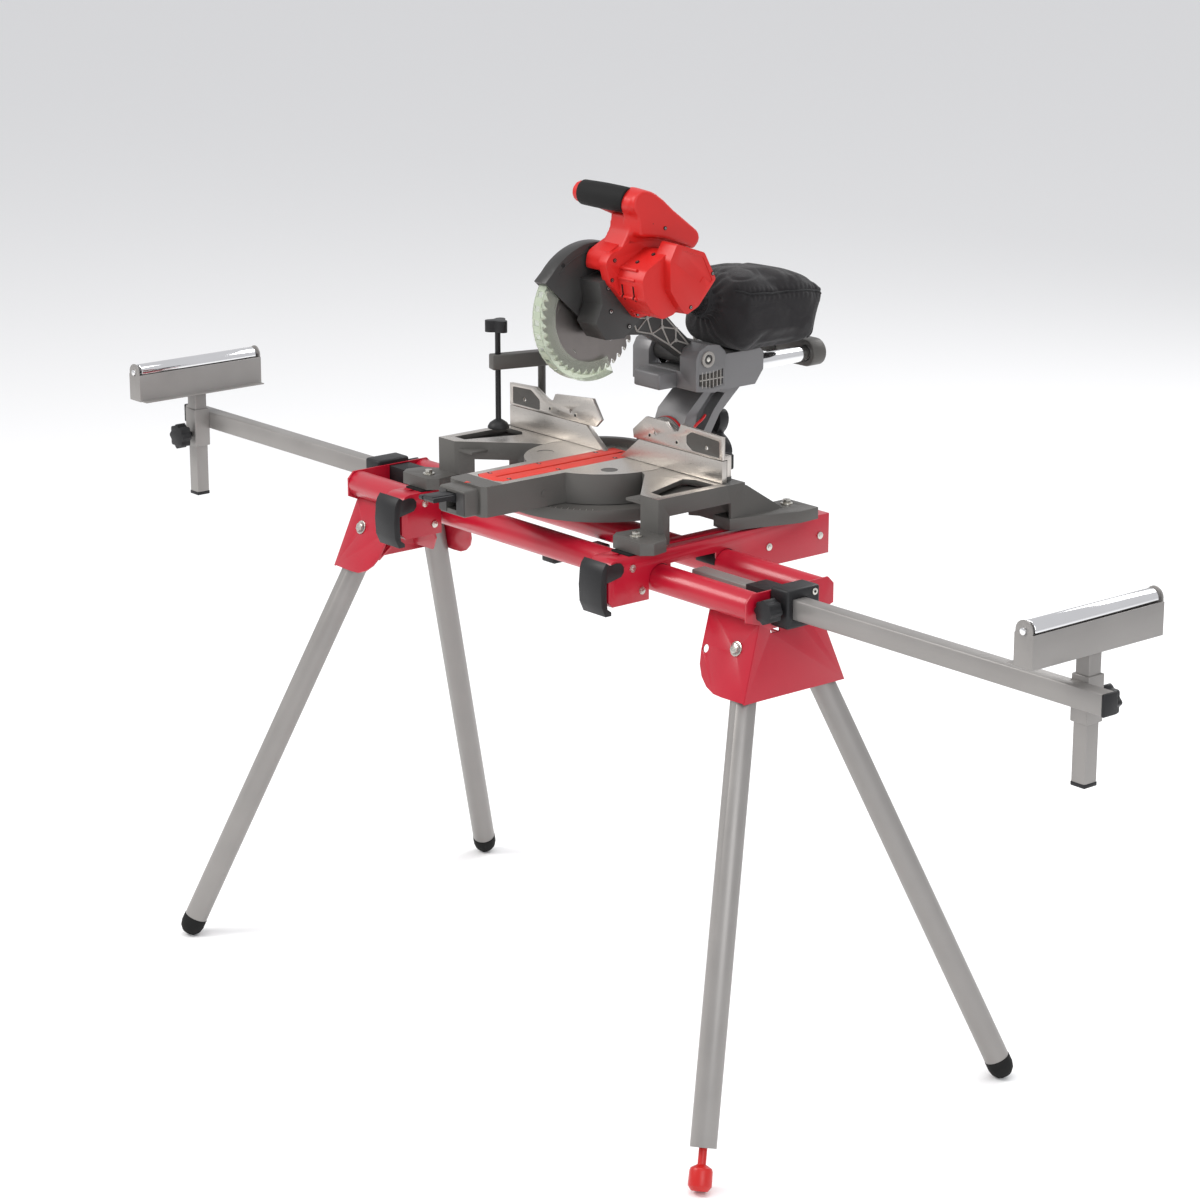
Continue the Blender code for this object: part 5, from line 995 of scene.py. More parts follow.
gr = slab("handle_grip", [(-0.0376, -0.0220), (0.0596, -0.0220), (0.0596, 0.0126), (-0.0376, 0.0126)], 0.0043, 0.0180, "rubber", 0.0035)
join(gr, slab("c", [(-0.0376, -0.0220), (0.0596, -0.0220), (0.0596, -0.0128), (-0.0376, -0.0128)], -0.0145, 0.0100))
saw(paint(gr, "rubber"))
tr = slab("trigger", [(-0.0092, 0.0030), (0.0312, 0.0030), (0.0312, 0.0270), (0.0260, 0.0285), (-0.0040, 0.0285), (-0.0092, 0.0270)], -0.0073, 0.0003, "black_plastic")
saw(tr)

# --- blade with its teeth, flange and arbor
teeth = 24
bl_p = []
for i in range(teeth):
    a = 2 * math.pi * i / teeth
    da = 2 * math.pi / teeth
    for f, r in ((0.0, 0.0885), (0.30, 0.0885), (0.62, BLADE_R), (0.86, BLADE_R - 0.0012)):
        bl_p.append((GC[0] + r * math.cos(a + f * da), GC[1] + r * math.sin(a + f * da)))
bl = plate("blade", [bl_p, circle(GC[0], GC[1], 0.0080, 16)], "yz", -0.0009, 0.0009, "steel")
saw(bl)
ar = rod("arbor", (-0.0095, GC[0], GC[1]), (0.0565, GC[0], GC[1]), 0.0077, 16, "steel")
join(ar, rod("c", (-0.0085, GC[0], GC[1]), (-0.0014, GC[0], GC[1]), 0.0180, 20), rod("c", (0.0014, GC[0], GC[1]), (0.0085, GC[0], GC[1]), 0.0180, 20), rod("c", (-0.0145, GC[0], GC[1]), (-0.0080, GC[0], GC[1]), 0.0098, 6))
cut(pa, rod("c", (0.010, GC[0], GC[1]), (0.0575, GC[0], GC[1]), 0.0083, 16))
saw(paint(ar, "steel"))

# --- lower guard: a clear half shell that swings back round the arbor
GR = 0.1035
lg_o = sector(GR, 137, 292, 20) + [(GC[0] + 0.030 * math.cos(math.radians(285)), GC[1] + 0.030 * math.sin(math.radians(285)))] + sector(0.0300, 270, 160, 6) + [(GC[0] + 0.070 * math.cos(math.radians(146)), GC[1] + 0.070 * math.sin(math.radians(146)))]
lg = plate("lower_guard", [lg_o], "yz", -0.0112, 0.0066, "clear_guard")
cut(lg, plate("c", [sector(GR - 0.0020, 125, 304, 20) + [GC]], "yz", -0.0097, 0.0200))
cut(lg, rod("c", (-0.03, GC[0], GC[1]), (0.03, GC[0], GC[1]), 0.0195, 20))
ring = rod("c", (-0.0112, GC[0], GC[1]), (-0.0097, GC[0], GC[1]), 0.0310, 20)
cut(ring, rod("c", (-0.03, GC[0], GC[1]), (0.03, GC[0], GC[1]), 0.0195, 20))
join(lg, ring)
saw(paint(lg, "clear_guard"))

# --- dust port and bag
dp = lathe("dust_port", [(0, 0.040), (0.0185, 0.040), (0.0185, 0.006), (0.0215, 0.004), (0.0215, -0.010), (0, -0.010)], (0.030, 0.1300, 0.3020), (0, 1, -0.16), 20, "black_plastic")
duct = plate("c", [[(0.036, 0.3260), (0.085, 0.3240), (0.128, 0.3180), (0.126, 0.2900), (0.112, 0.2880), (0.086, 0.3010), (0.040, 0.3240)]], "yz", 0.0370, 0.0560)
join(dp, duct)
saw(paint(dp, "black_plastic"))
bag_p = [(0.1800, 0.3300), (0.2100, 0.3400), (0.330, 0.3340), (0.378, 0.3050), (0.386, 0.2900), (0.366, 0.2220), (0.350, 0.2130), (0.200, 0.2140), (0.1790, 0.2380)]
bg = plate("dust_bag", [bag_p], "yz", -0.035, 0.098, "bag_cloth", 0.012)
cut(bg, rod("c", (0.030, 0.120, 0.3036), (0.030, 0.2000, 0.2908), 0.0190, 20))
saw(paint(bg, "bag_cloth"))

# --- work clamp: post in the base with a swinging arm, and the screw
CPX, CPY = -0.2050, 0.0500
CSX, CSY = -0.2250, -0.0220
ca = rod("clamp_arm", (CPX, CPY, TABLE + 0.0005), (CPX, CPY, 0.1960), 0.0062, 14, "cast_grey")
v = Vector((CSX - CPX, CSY - CPY, 0))
n = Vector((-v.y, v.x, 0)).normalized() * 0.0095
e1 = v.normalized() * 0.012
P0, P1 = Vector((CPX, CPY, 0)) - e1, Vector((CSX, CSY, 0)) + e1
ar_pts = [tuple((P0 + n)[:2]), tuple((P0 - n)[:2]), tuple((P1 - n)[:2]), tuple((P1 + n)[:2])]
join(ca, plate("c", [ar_pts], "xy", 0.1720, 0.1960, None, 0.002))
cut(ca, rod("c", (CSX, CSY, 0.16), (CSX, CSY, 0.21), 0.0048, 14))
saw(paint(ca, "cast_grey"))
cut(ff, rod("c", (CPX, CPY, 0.06), (CPX, CPY, 0.09), 0.0080, 14))
cs = rod("clamp_screw", (CSX, CSY, 0.0880), (CSX, CSY, 0.2400), 0.0044, 12, "black_plastic")
tri = []
for i in range(96):
    a = 2 * math.pi * i / 96
    tri.append((CSX + (0.0155 + 0.0045 * math.cos(3 * a)) * math.cos(a), CSY + (0.0155 + 0.0045 * math.cos(3 * a)) * math.sin(a)))
join(cs, plate("c", [tri], "xy", 0.2320, 0.2500), lathe("c", [(0, 0.0120), (0.0060, 0.0115), (0.0140, 0.0060), (0.0170, 0.0010), (0.0170, -0.0020), (0, -0.0020)], (CSX, CSY, 0.0800), (0, 0, 1), 18))
saw(paint(cs, "black_plastic"))


# ================================================================ FINER PIECES (saw frame unless a piece says otherwise)
def drop(name):
    """Removes a first-stage piece that a finer one stands for."""
    o = bpy.data.objects["v_" + name]
    if o in SAW:
        SAW.remove(o)
    bpy.data.objects.remove(o)


def voxel_blend(o, voxel, smooth=4, factor=0.5):
    """Unites overlapping shapes into one skin with soft inner corners."""
    m = o.modifiers.new("r", "REMESH")
    m.mode = "VOXEL"
    m.voxel_size = voxel
    m.use_smooth_shade = True
    s = o.modifiers.new("s", "SMOOTH")
    s.iterations = smooth
    s.factor = factor
    apply_mesh(o)
    return o


def tube(name, pts, r, mat=None, cyclic=False, res=4, radii=None):
    """A round bar along a smooth line through the points."""
    cu = bpy.data.curves.new(name, "CURVE")
    cu.dimensions = "3D"
    cu.bevel_depth = r
    cu.bevel_resolution = res
    cu.use_fill_caps = True
    sp = cu.splines.new("NURBS" if not cyclic else "POLY")
    sp.points.add(len(pts) - 1)
    for i, (p, q) in enumerate(zip(sp.points, pts)):
        p.co = (*q, 1)
        if radii:
            p.radius = radii[i]
    sp.use_cyclic_u = cyclic
    if not cyclic:
        sp.order_u = 3
        sp.use_endpoint_u = True
        sp.resolution_u = 6
    o = bpy.data.objects.new(name, cu)
    COL.objects.link(o)
    bpy.context.view_layer.update()
    dg = bpy.context.evaluated_depsgraph_get()
    me = bpy.data.meshes.new_from_object(o.evaluated_get(dg))
    bpy.data.objects.remove(o)
    bm = bmesh.new()
    bm.from_mesh(me)
    bmesh.ops.remove_doubles(bm, verts=bm.verts, dist=1e-6)
    bpy.data.meshes.remove(me)
    return from_bm(name, bm, mat)


def screw_head(p, n, r=0.0026, mat="slot_black", depth=0.0006, inner="steel"):
    """A socket screw in its hole: a ring of painted shade with a small hexagon-socket head in it, and painted shade in
    the socket, standing on a surface at p, facing n.
    """
    p, n = Vector(p), Vector(n).normalized()
    a = rod("c", p - n * 0.002, p + n * depth, r, 10, mat)
    b = rod("c", p - n * 0.001, p + n * (depth + 0.0003), r * 0.62, 8, inner)
    c = rod("c", p, p + n * (depth + 0.0005), r * 0.30, 6, mat)
    return merge(a, b, c)


def ngon_loft(name, sections, mat=None):
    """A closed skin through rings of equal point count."""
    bm = bmesh.new()
    rings = [[bm.verts.new(p) for p in s] for s in sections]
    n = len(rings[0])
    for a, b in zip(rings, rings[1:]):
        for i in range(n):
            bm.faces.new((a[i], a[(i + 1) % n], b[(i + 1) % n], b[i]))
    bm.faces.new(rings[0])
    bm.faces.new(list(reversed(rings[-1])))
    return from_bm(name, bm, mat)


def yz_taper(name, pts, x0, x1, inset0=0.0, inset1=0.0, mat=None):
    """An outline in yz extruded from x0 to x1, each end drawn in towards its middle by an amount."""
    cy = sum(p[0] for p in pts) / len(pts)
    cz = sum(p[1] for p in pts) / len(pts)

    def ring(x, k):
        out = []
        for y, z in pts:
            d = math.hypot(y - cy, z - cz)
            f = (d - k) / d if d > 1e-6 else 1
            out.append((x, cy + (y - cy) * f, cz + (z - cz) * f))
        return out
    e = 0.0
    return ngon_loft(name, [ring(x0, inset0 + e), ring(x1, inset1)], mat)


# --- motor housing: upper body, bolted flange, finned barrel and end cap
drop("motor_housing")
upper = plate("motor_housing", [smooth_loop(mh_p, 0.010, 4)], "yz", 0.0180, 0.0600, "red_plastic")
flange_o = [(-0.003, 0.4140), (-0.024, 0.3990), (-0.040, 0.3960), (-0.0500, 0.3820), (-0.0400, 0.3490), (-0.0300, 0.3390), (0.0120, 0.2920), (0.0380, 0.2950), (0.0820, 0.3200), (0.1120, 0.3500), (0.1140, 0.3760), (0.0940, 0.3960), (0.0400, 0.4130)]
flange = plate("c", [smooth_loop(flange_o, 0.005, 3)], "yz", 0.0520, 0.0700)
barrel_o = [(-0.0270, 0.3600), (-0.0200, 0.3740), (0.0260, 0.3990), (0.0500, 0.3960), (0.0720, 0.3600), (0.0640, 0.3240), (0.0330, 0.3030), (0.0120, 0.2990), (-0.0040, 0.3090), (-0.0220, 0.3300)]
barrel = plate("c", [smooth_loop(barrel_o, 0.004, 3)], "yz", 0.0640, 0.1260)
cap_o = [(0.0140, 0.3880), (0.0280, 0.4130), (0.0400, 0.4095), (0.0840, 0.3945), (0.1075, 0.3510), (0.0720, 0.3120), (0.0480, 0.3020), (0.0330, 0.3160), (0.0150, 0.3420)]
cap = yz_taper("c", smooth_loop(cap_o, 0.004, 3), 0.1060, 0.1400, 0.0, 0.0015)
join(upper, flange, barrel, cap)
# ridges along the barrel, drawn as raised bars
for yy, zz in ((-0.0215, 0.3735), (-0.0262, 0.3590), (-0.0225, 0.3312), (0.0030, 0.3045)):
    join(upper, rod("c", (0.0690, yy, zz), (0.1080, yy, zz), 0.0024, 8))
# panel set into the end face, and the block beside it
cut(upper, plate("c", [smooth_loop([(0.0300, 0.3800), (0.0400, 0.4010), (0.0800, 0.3870), (0.0990, 0.3500), (0.0860, 0.3400), (0.0560, 0.3620)], 0.003, 3)], "yz", 0.1388, 0.150))
join(upper, plate("c", [smooth_loop([(0.0700, 0.3440), (0.0820, 0.3570), (0.0960, 0.3440), (0.0840, 0.3300)], 0.002, 2)], "yz", 0.1330, 0.1398))
# air slots in the lower front face of the barrel
for x0, x1 in ((0.0760, 0.0792), (0.1010, 0.1042)):
    arc = [(-0.0300 + 0.0040 * math.sin(math.pi * i / 8), 0.3500 - 0.0270 * i / 8) for i in range(9)]
    back_arc = [(y + 0.0100, z - 0.0010) for y, z in reversed(arc)]
    cut(upper, plate("c", [arc + back_arc], "yz", x0, x1))
soften(upper, 0.0016, 3, 0.45)
# the slots' walls and floors take painted shade
assign(upper, "slot_black", lambda c, n: (0.0755 < c.x < 0.0797 or 0.1005 < c.x < 0.1047) and c.y < -0.0165 and 0.3180 < c.z < 0.3540 and (abs(n.x) > 0.9 or c.y > -0.0250))
# screws, each in a ring of painted shade
for p, n in (((0.0704, -0.0380, 0.3560), (1, 0, 0)), ((0.0704, 0.0120, 0.2985), (1, 0, 0)), ((0.0704, 0.0900, 0.3350), (1, 0, 0)), ((0.0704, -0.0330, 0.3850), (1, 0, 0)),
             ((0.1402, 0.0560, 0.3140), (1, 0, 0)), ((0.1402, 0.0990, 0.3600), (1, 0, 0)), ((0.0900, -0.0060, 0.3826), (0, -0.48, 0.88)), ((0.1030, 0.0140, 0.3936), (0, -0.48, 0.88))):
    merge(upper, screw_head(p, n, 0.0030))
saw(upper)

# --- handle: D loop with a rubber grip, running into a broad neck
drop("handle_housing")
right_side = smooth_loop([(-0.0165, 0.4660), (-0.0100, 0.4830), (0.0060, 0.4900), (0.0240, 0.4860), (0.0470, 0.4720), (0.0700, 0.4520), (0.1180, 0.4140), (0.1215, 0.4010), (0.1080, 0.3860),
                          (0.0950, 0.3950), (0.0440, 0.4100), (-0.0010, 0.4180), (-0.0035, 0.4300), (-0.0040, 0.4480)], 0.008, 4)
h1 = yz_taper("handle_housing", right_side, 0.0560, 0.0900, 0.0, 0.0030, "red_plastic")
neck_o = [(-0.0210, 0.3990), (-0.0040, 0.4250), (0.0000, 0.4480), (0.0300, 0.4540), (0.0600, 0.4400), (0.1000, 0.4200), (0.1180, 0.4020), (0.1060, 0.3820), (0.0850, 0.3900), (0.0400, 0.4020)]
h2 = plate("c", [smooth_loop(neck_o, 0.005, 3)], "yz", 0.0230, 0.0700)
h3 = tube("c", [(-0.0400, -0.0040, 0.4700), (-0.0450, 0.0060, 0.4680), (-0.0450, 0.0250, 0.4600), (-0.0370, 0.0480, 0.4480), (-0.0200, 0.0720, 0.4350), (0.0060, 0.0880, 0.4240), (0.0400, 0.0900, 0.4190)], 0.0135)
h4 = tube("c", [(-0.0480, -0.0020, 0.4710), (-0.0200, -0.0020, 0.4710), (0.0200, -0.0020, 0.4705), (0.0600, 0.0000, 0.4690), (0.0800, 0.0010, 0.4660)], 0.0165)
bm = bmesh.new()
for x in (h1, h2, h3, h4):
    bm.from_mesh(x.data)
bm.to_mesh(h1.data)
bm.free()
for x in (h2, h3, h4):
    bpy.data.objects.remove(x)
voxel_blend(h1, 0.0021, 5, 0.5)
paint(h1, "red_plastic")
# screws, each in a ring of painted shade
for p in ((0.0908, 0.0480, 0.4270), (0.0625, 0.0100, 0.4230)):
    merge(h1, screw_head(p, (1, 0, 0), 0.0028))
merge(h1, screw_head((0.0890, 0.0250, 0.4360), (1, 0, 0), 0.0028))
saw(h1)

drop("handle_grip")
g_sections = []
gn = 40
for k, (x, s) in enumerate(((-0.0400, 0.90), (-0.0394, 0.965), (-0.0380, 1.0), (-0.0150, 1.03), (0.0100, 1.05), (0.0350, 1.03), (0.0580, 1.0), (0.0596, 0.965), (0.0602, 0.90))):
    ring = []
    for i in range(gn):
        a = 2 * math.pi * i / gn
        ry, rz = 0.0185 * s, 0.0190 * s
        ca, sa = math.cos(a), math.sin(a)
        # the end towards the right leans back, as the red shell's edge does
        lean = 0.010 * (sa * 0.4 - ca * 0.6) if x > 0.03 else -0.004 * ca
        ring.append((x + lean * (1 if x > 0.03 else 0.6), -0.0015 + ry * ca + 0.0010, 0.4705 + rz * sa))
    g_sections.append(ring)
gr = ngon_loft("handle_grip", g_sections, "rubber")
saw(gr)

# --- blade with more teeth, expansion slots and brazed tips
drop("blade")
teeth = 42
pts = []
for i in range(teeth):
    a = -2 * math.pi * i / teeth
    da = -2 * math.pi / teeth
    for f, r in ((0.00, 0.0948), (0.03, 0.0900), (0.10, 0.0868), (0.26, 0.0862), (0.38, 0.0885), (0.66, 0.0925), (0.96, 0.0944)):
        pts.append((GC[0] + r * math.cos(a + f * da), GC[1] + r * math.sin(a + f * da)))
slots = []
bl = plate("blade", [list(reversed(pts)), circle(GC[0], GC[1], 0.0080, 16)], "yz", -0.0008, 0.0008, "blade_steel")
for k in range(5):
    a = 2 * math.pi * k / 5 + 0.35
    ring = []
    for j in range(9):
        b = a + 0.16 * j / 8
        ring.append((GC[0] + (0.062 + 0.004 * j / 8) * math.cos(b), GC[1] + (0.062 + 0.004 * j / 8) * math.sin(b)))
    inner = [(GC[0] + (math.hypot(y - GC[0], z - GC[1]) - 0.0011) * math.cos(math.atan2(z - GC[1], y - GC[0])), GC[1] + (math.hypot(y - GC[0], z - GC[1]) - 0.0011) * math.sin(math.atan2(z - GC[1], y - GC[0]))) for y, z in reversed(ring)]
    cut(bl, plate("c", [ring + inner], "yz", -0.004, 0.004))
for i in range(teeth):
    a = -2 * math.pi * i / teeth
    c, s = math.cos(a), math.sin(a)
    t = -2 * math.pi / teeth
    q = [(GC[0] + r * math.cos(a + f * t), GC[1] + r * math.sin(a + f * t)) for f, r in ((0.0, 0.0950), (-0.10, 0.0948), (-0.06, 0.0893), (0.05, 0.0893))]
    q = [(GC[0] + r * math.cos(a + f * t), GC[1] + r * math.sin(a + f * t)) for f, r in ((0.02, 0.0950), (0.24, 0.0946), (0.20, 0.0897), (0.04, 0.0897))]
    merge(bl, plate("c", [q], "yz", -0.0012, 0.0012, "zinc"))
saw(bl)

# --- lower guard: rim with slots and lips, side walls as rings
drop("lower_guard")


def ring_sector(r0, r1, a0, a1, n=40):
    n = int(n)
    o = [(GC[0] + r1 * math.cos(math.radians(a0 + (a1 - a0) * i / n)), GC[1] + r1 * math.sin(math.radians(a0 + (a1 - a0) * i / n))) for i in range(n + 1)]
    p = [(GC[0] + r0 * math.cos(math.radians(a1 + (a0 - a1) * i / n)), GC[1] + r0 * math.sin(math.radians(a1 + (a0 - a1) * i / n))) for i in range(n + 1)]
    return o + p


lg = plate("lower_guard", [ring_sector(GR - 0.0020, GR, 133, 292, 80)], "yz", -0.0112, 0.0066, "clear_guard")
for a in range(158, 232, 12):
    s = plate("c", [ring_sector(GR - 0.008, GR + 0.006, a - 2.4, a + 2.4, 4)], "yz", -0.0070, 0.0040)
    cut(lg, s)
    for e in (-3.3, 3.3):
        join(lg, plate("c", [ring_sector(GR - 0.0022, GR + 0.0006, a + e - 0.75, a + e + 0.75, 2)], "yz", -0.0108, 0.0064))
left_wall = plate("c", [ring_sector(0.0300, GR - 0.0010, 146, 292, 60)], "yz", -0.0112, -0.0098)
right_wall = plate("c", [ring_sector(0.0740, GR - 0.0010, 133, 292, 60)], "yz", 0.0052, 0.0066)
hub = plate("c", [circle(GC[0], GC[1], 0.0310, 24), circle(GC[0], GC[1], 0.0195, 24)], "yz", -0.0112, -0.0098)
join(lg, left_wall, right_wall, hub)
paint(lg, "clear_guard")
assign(lg, "guard_rim", lambda c, n: math.hypot(c.y - GC[0], c.z - GC[1]) > GR - 0.0025)
lip = merge(plate("c", [ring_sector(GR - 0.0120, GR - 0.0095, 190, 286, 50)], "yz", 0.0065, 0.0070, "clear_guard"))
merge(lg, lip)
saw(lg)


# --- motor: hidden inside its housing, as its fins and windings
drop("motor")
mo = rod("motor", (0.0650, 0.028, 0.3480), (0.1130, 0.028, 0.3480), 0.0200, 20, "steel")
for i in range(12):
    x = 0.069 + 0.0036 * i
    join(mo, rod("c", (x, 0.028, 0.3480), (x + 0.0014, 0.028, 0.3480), 0.0212, 20))
saw(mo)

# --- table top: machined where it is ground, cast elsewhere
tt = bpy.data.objects["v_turntable"]
for s_ in (-1, 1):
    cut(tt, rod("c", (s_ * 0.0760, -0.0480, TABLE - 0.0008), (s_ * 0.0760, -0.0480, TABLE + 0.01), 0.0130, 20))
    merge(tt, rod("c", (s_ * 0.0760, -0.0480, TABLE - 0.0030), (s_ * 0.0760, -0.0480, TABLE - 0.0003), 0.0124, 20, "cast_grey"))
    # bolts that hold the arm
    merge(tt, rod("c", (s_ * 0.0440, -0.1500, 0.0440), (s_ * 0.0466, -0.1500, 0.0440), 0.0044, 10, "zinc"))
assign(tt, "cast_grey", lambda c, n: not (n.z > 0.9 and c.z > TABLE - 0.0011) and c.z < TABLE + 0.02)
# painted shade: dark plates on the front face of the front box, beside the lever slot
for s_ in (-1, 1):
    merge(tt, plate("c", [[(s_ * 0.0298, -0.2890), (s_ * 0.0120, -0.2890), (s_ * 0.0120, -0.2868), (s_ * 0.0298, -0.2868)][:: s_]], "xy", 0.0290, 0.0620, "cast_dark"))
# pointer for the scale ring
pointer = plate("c", [[(-0.0050, -0.2560), (0.0050, -0.2560), (0.0000, -0.2640)]], "xy", TABLE, TABLE + 0.0006, "kerf_red")
merge(tt, pointer)
# the front of the arm is left as cast, not ground
merge(tt, plate("c", [[(-0.0425, -0.2255), (-0.0428, -0.2549), (-0.0359, -0.2617), (0.0359, -0.2617), (0.0428, -0.2549), (0.0425, -0.2255)]], "xy", TABLE - 0.0012, TABLE + 0.0002, "cast_grey"))

base = bpy.data.objects["v_saw_base"]
assign(base, "machined", lambda c, n: n.z > 0.9 and c.z > TABLE - 0.0011 and c.y < 0.0215)
for k in range(-12, 13):
    a = math.radians(k * 3.75)
    ln = 0.0075 if k % 4 == 0 else 0.0045
    c0, s0 = math.cos(a), math.sin(a)
    q = []
    for r_, w_ in ((0.1490, -0.00035), (0.1490, 0.00035), (0.1490 - ln, 0.00035), (0.1490 - ln, -0.00035)):
        q.append((r_ * s0 + w_ * c0, -r_ * c0 + w_ * s0))
    merge(base, plate("c", [q], "xy", 0.02245, 0.0227, "machined"))
for s_ in (-1, 1):
    # washers and bolts through the feet
    for y_ in (-0.143, 0.156):
        merge(base, rod("c", (s_ * 0.248, y_, 0.0178), (s_ * 0.248, y_, 0.0196), 0.0092, 14, "zinc"), rod("c", (s_ * 0.248, y_, 0.0190), (s_ * 0.248, y_, 0.0250), 0.0062, 6, "zinc"))

# kerf plate: its long slot is narrow, with a small relief at each screw
drop("kerf_plate")
kp = plate("kerf_plate", [smooth_loop([(-0.0300, -0.2150), (-0.0300, 0.0495), (0.0300, 0.0495), (0.0300, -0.2150), (0.0175, -0.2230), (-0.0175, -0.2230)], 0.003, 3),
                          smooth_loop([(-0.0026, -0.2040), (0.0026, -0.2040), (0.0026, 0.0460), (-0.0026, 0.0460)], 0.0025, 3)], "xy", TABLE - 0.0042, TABLE + 0.0002, "kerf_red")
# screws in rings of painted shade, each with its relief drawn as a box of painted shade
for s_ in (-1, 1):
    for y_ in (-0.1980, -0.1040, 0.0080):
        merge(kp, rod("c", (s_ * 0.0225, y_, TABLE - 0.001), (s_ * 0.0225, y_, TABLE + 0.0004), 0.0036, 12, "slot_black"), rod("c", (s_ * 0.0225, y_, TABLE - 0.001), (s_ * 0.0225, y_, TABLE + 0.0007), 0.0022, 6, "steel"),
              box("c", (min(s_ * 0.0225, s_ * 0.0290), y_ - 0.0020, TABLE - 0.001), (max(s_ * 0.0225, s_ * 0.0290), y_ + 0.0020, TABLE + 0.0004), "slot_black"))
saw(kp)

# --- fences: a dark cast pocket at the outer end of each ground face
for side, s_, poly in (("left", -1, [(-0.2440, 0.1080), (-0.2440, 0.1350), (-0.1980, 0.1368), (-0.1760, 0.1240), (-0.1760, 0.1080)]),
                       ("right", 1, [(0.2440, 0.1080), (0.2440, 0.1330), (0.1820, 0.1365), (0.1700, 0.1290), (0.1700, 0.1160), (0.1840, 0.1080)])):
    sf = bpy.data.objects[f"v_{side}_sliding_fence"]
    poly = smooth_loop(poly if s_ < 0 else list(reversed(poly)), 0.003, 3)
    cut(sf, plate("c", [poly], "xz", 0.0210, 0.0227))
    assign(sf, "cast_grey", lambda c, n: n.y < -0.9 and c.y > 0.0224)
    # screws whose sockets are painted shade
    for hx in (0.088, 0.150):
        merge(sf, rod("c", (s_ * hx, 0.0221, 0.1150), (s_ * hx, 0.0212, 0.1150), 0.0034, 12, "zinc"), rod("c", (s_ * hx, 0.0221, 0.1150), (s_ * hx, 0.0208, 0.1150), 0.0024, 10, "slot_black"))
ff = bpy.data.objects["v_fixed_fence"]
for s_ in (-1, 1):
    merge(ff, rod("c", (s_ * 0.0720, 0.0350, 0.0820), (s_ * 0.0720, 0.0350, 0.0862), 0.0050, 8, "zinc"))
assign(ff, "cast_grey", lambda c, n: c.y > 0.0335)

# --- carriage block: ribbed ends round the pivot bore; the ribs and the boss ring are a painted highlight, the bore and the pocket floors painted shade
cb = bpy.data.objects["v_carriage_block"]
paint(cb, "arm_grey")
for s_ in (-1, 1):
    x0, x1 = s_ * 0.0735, s_ * 0.0765
    ring = plate("c", [circle(HP[0], HP[1], 0.0125, 16), circle(HP[0], HP[1], 0.0078, 16)], "yz", min(x0, x1), max(x0, x1), "cast_light")
    merge(cb, ring, rod("c", (s_ * 0.0700, HP[0], HP[1]), (s_ * 0.0752, HP[0], HP[1]), 0.0064, 10, "cast_dark"), rod("c", (s_ * 0.0700, HP[0], HP[1]), (s_ * 0.0762, HP[0], HP[1]), 0.0040, 6, "zinc"))
    for k in range(6):
        y_ = 0.1400 + 0.0075 * k
        merge(cb, box("c", (min(s_ * 0.0600, s_ * 0.0742), y_ - 0.0009, 0.1660 + 0.0008 * abs(k - 2)), (max(s_ * 0.0600, s_ * 0.0742), y_ + 0.0009, 0.1930), "cast_light", 0.0004))
    merge(cb, box("c", (min(s_ * 0.0600, s_ * 0.0742), 0.1340, 0.1790), (max(s_ * 0.0600, s_ * 0.0742), 0.1830, 0.1808), "cast_light", 0.0004))
# the pocket floors between the ribs take painted shade
assign(cb, "cast_dark", lambda c, n: abs(c.x) < 0.0660 and abs(n.x) > 0.9 and 0.133 < c.y < 0.184 and c.z < 0.196)

# --- head arm: dark web with a lattice of ribs, their brightness a painted highlight
pa = bpy.data.objects["v_head_arm"]
paint(pa, "guard_plastic")
A = [(0.0560, 0.3080), (0.0900, 0.2850), (0.1180, 0.2580), (0.1440, 0.2300), (0.1380, 0.2110), (0.1060, 0.2340), (0.0700, 0.2560), (0.0400, 0.2640), (0.0300, 0.2850)]
B = [(0.0600, 0.2820), (0.0900, 0.2640), (0.1180, 0.2400)]
segs = [(A[i], A[(i + 1) % len(A)]) for i in range(len(A))] + [(A[0], B[0]), (B[0], A[1]), (A[1], B[1]), (B[1], A[2]), (A[2], B[2]), (B[2], A[3]), (A[7], B[0]), (B[0], A[6]), (A[6], B[1]), (B[1], A[5]), (A[5], B[2]), (A[8], B[0])]
for a, b in segs:
    merge(pa, rod("c", (0.0362, *a), (0.0362, *b), 0.0013, 6, "cast_light"))
for q in B + [A[0], A[1], A[2]]:
    merge(pa, rod("c", (0.0350, *q), (0.0380, *q), 0.0030, 8, "cast_light"))
# gear case: three bolts
# bolts, each in a ring of painted shade
for p_ in ((0.0583, -0.0300, 0.3060), (0.0583, 0.0060, 0.2790), (0.0583, -0.0350, 0.3420)):
    merge(pa, screw_head(p_, (1, 0, 0), 0.0040, "slot_black", 0.0006))

ug = bpy.data.objects["v_upper_blade_guard"]
paint(ug, "guard_plastic")
# four dots of painted shade near the rim
for a_ in (28, 62, 96, 128):
    r_ = 0.1020
    merge(ug, rod("c", (0.0114, GC[0] + r_ * math.cos(math.radians(a_)), GC[1] + r_ * math.sin(math.radians(a_))), (0.0126, GC[0] + r_ * math.cos(math.radians(a_)), GC[1] + r_ * math.sin(math.radians(a_))), 0.0034, 10, "slot_black"))
bead = plate("c", [ring_sector(0.0960, 0.0985, 24, 136, 50)], "yz", 0.0116, 0.0126, "guard_plastic")
merge(ug, bead)

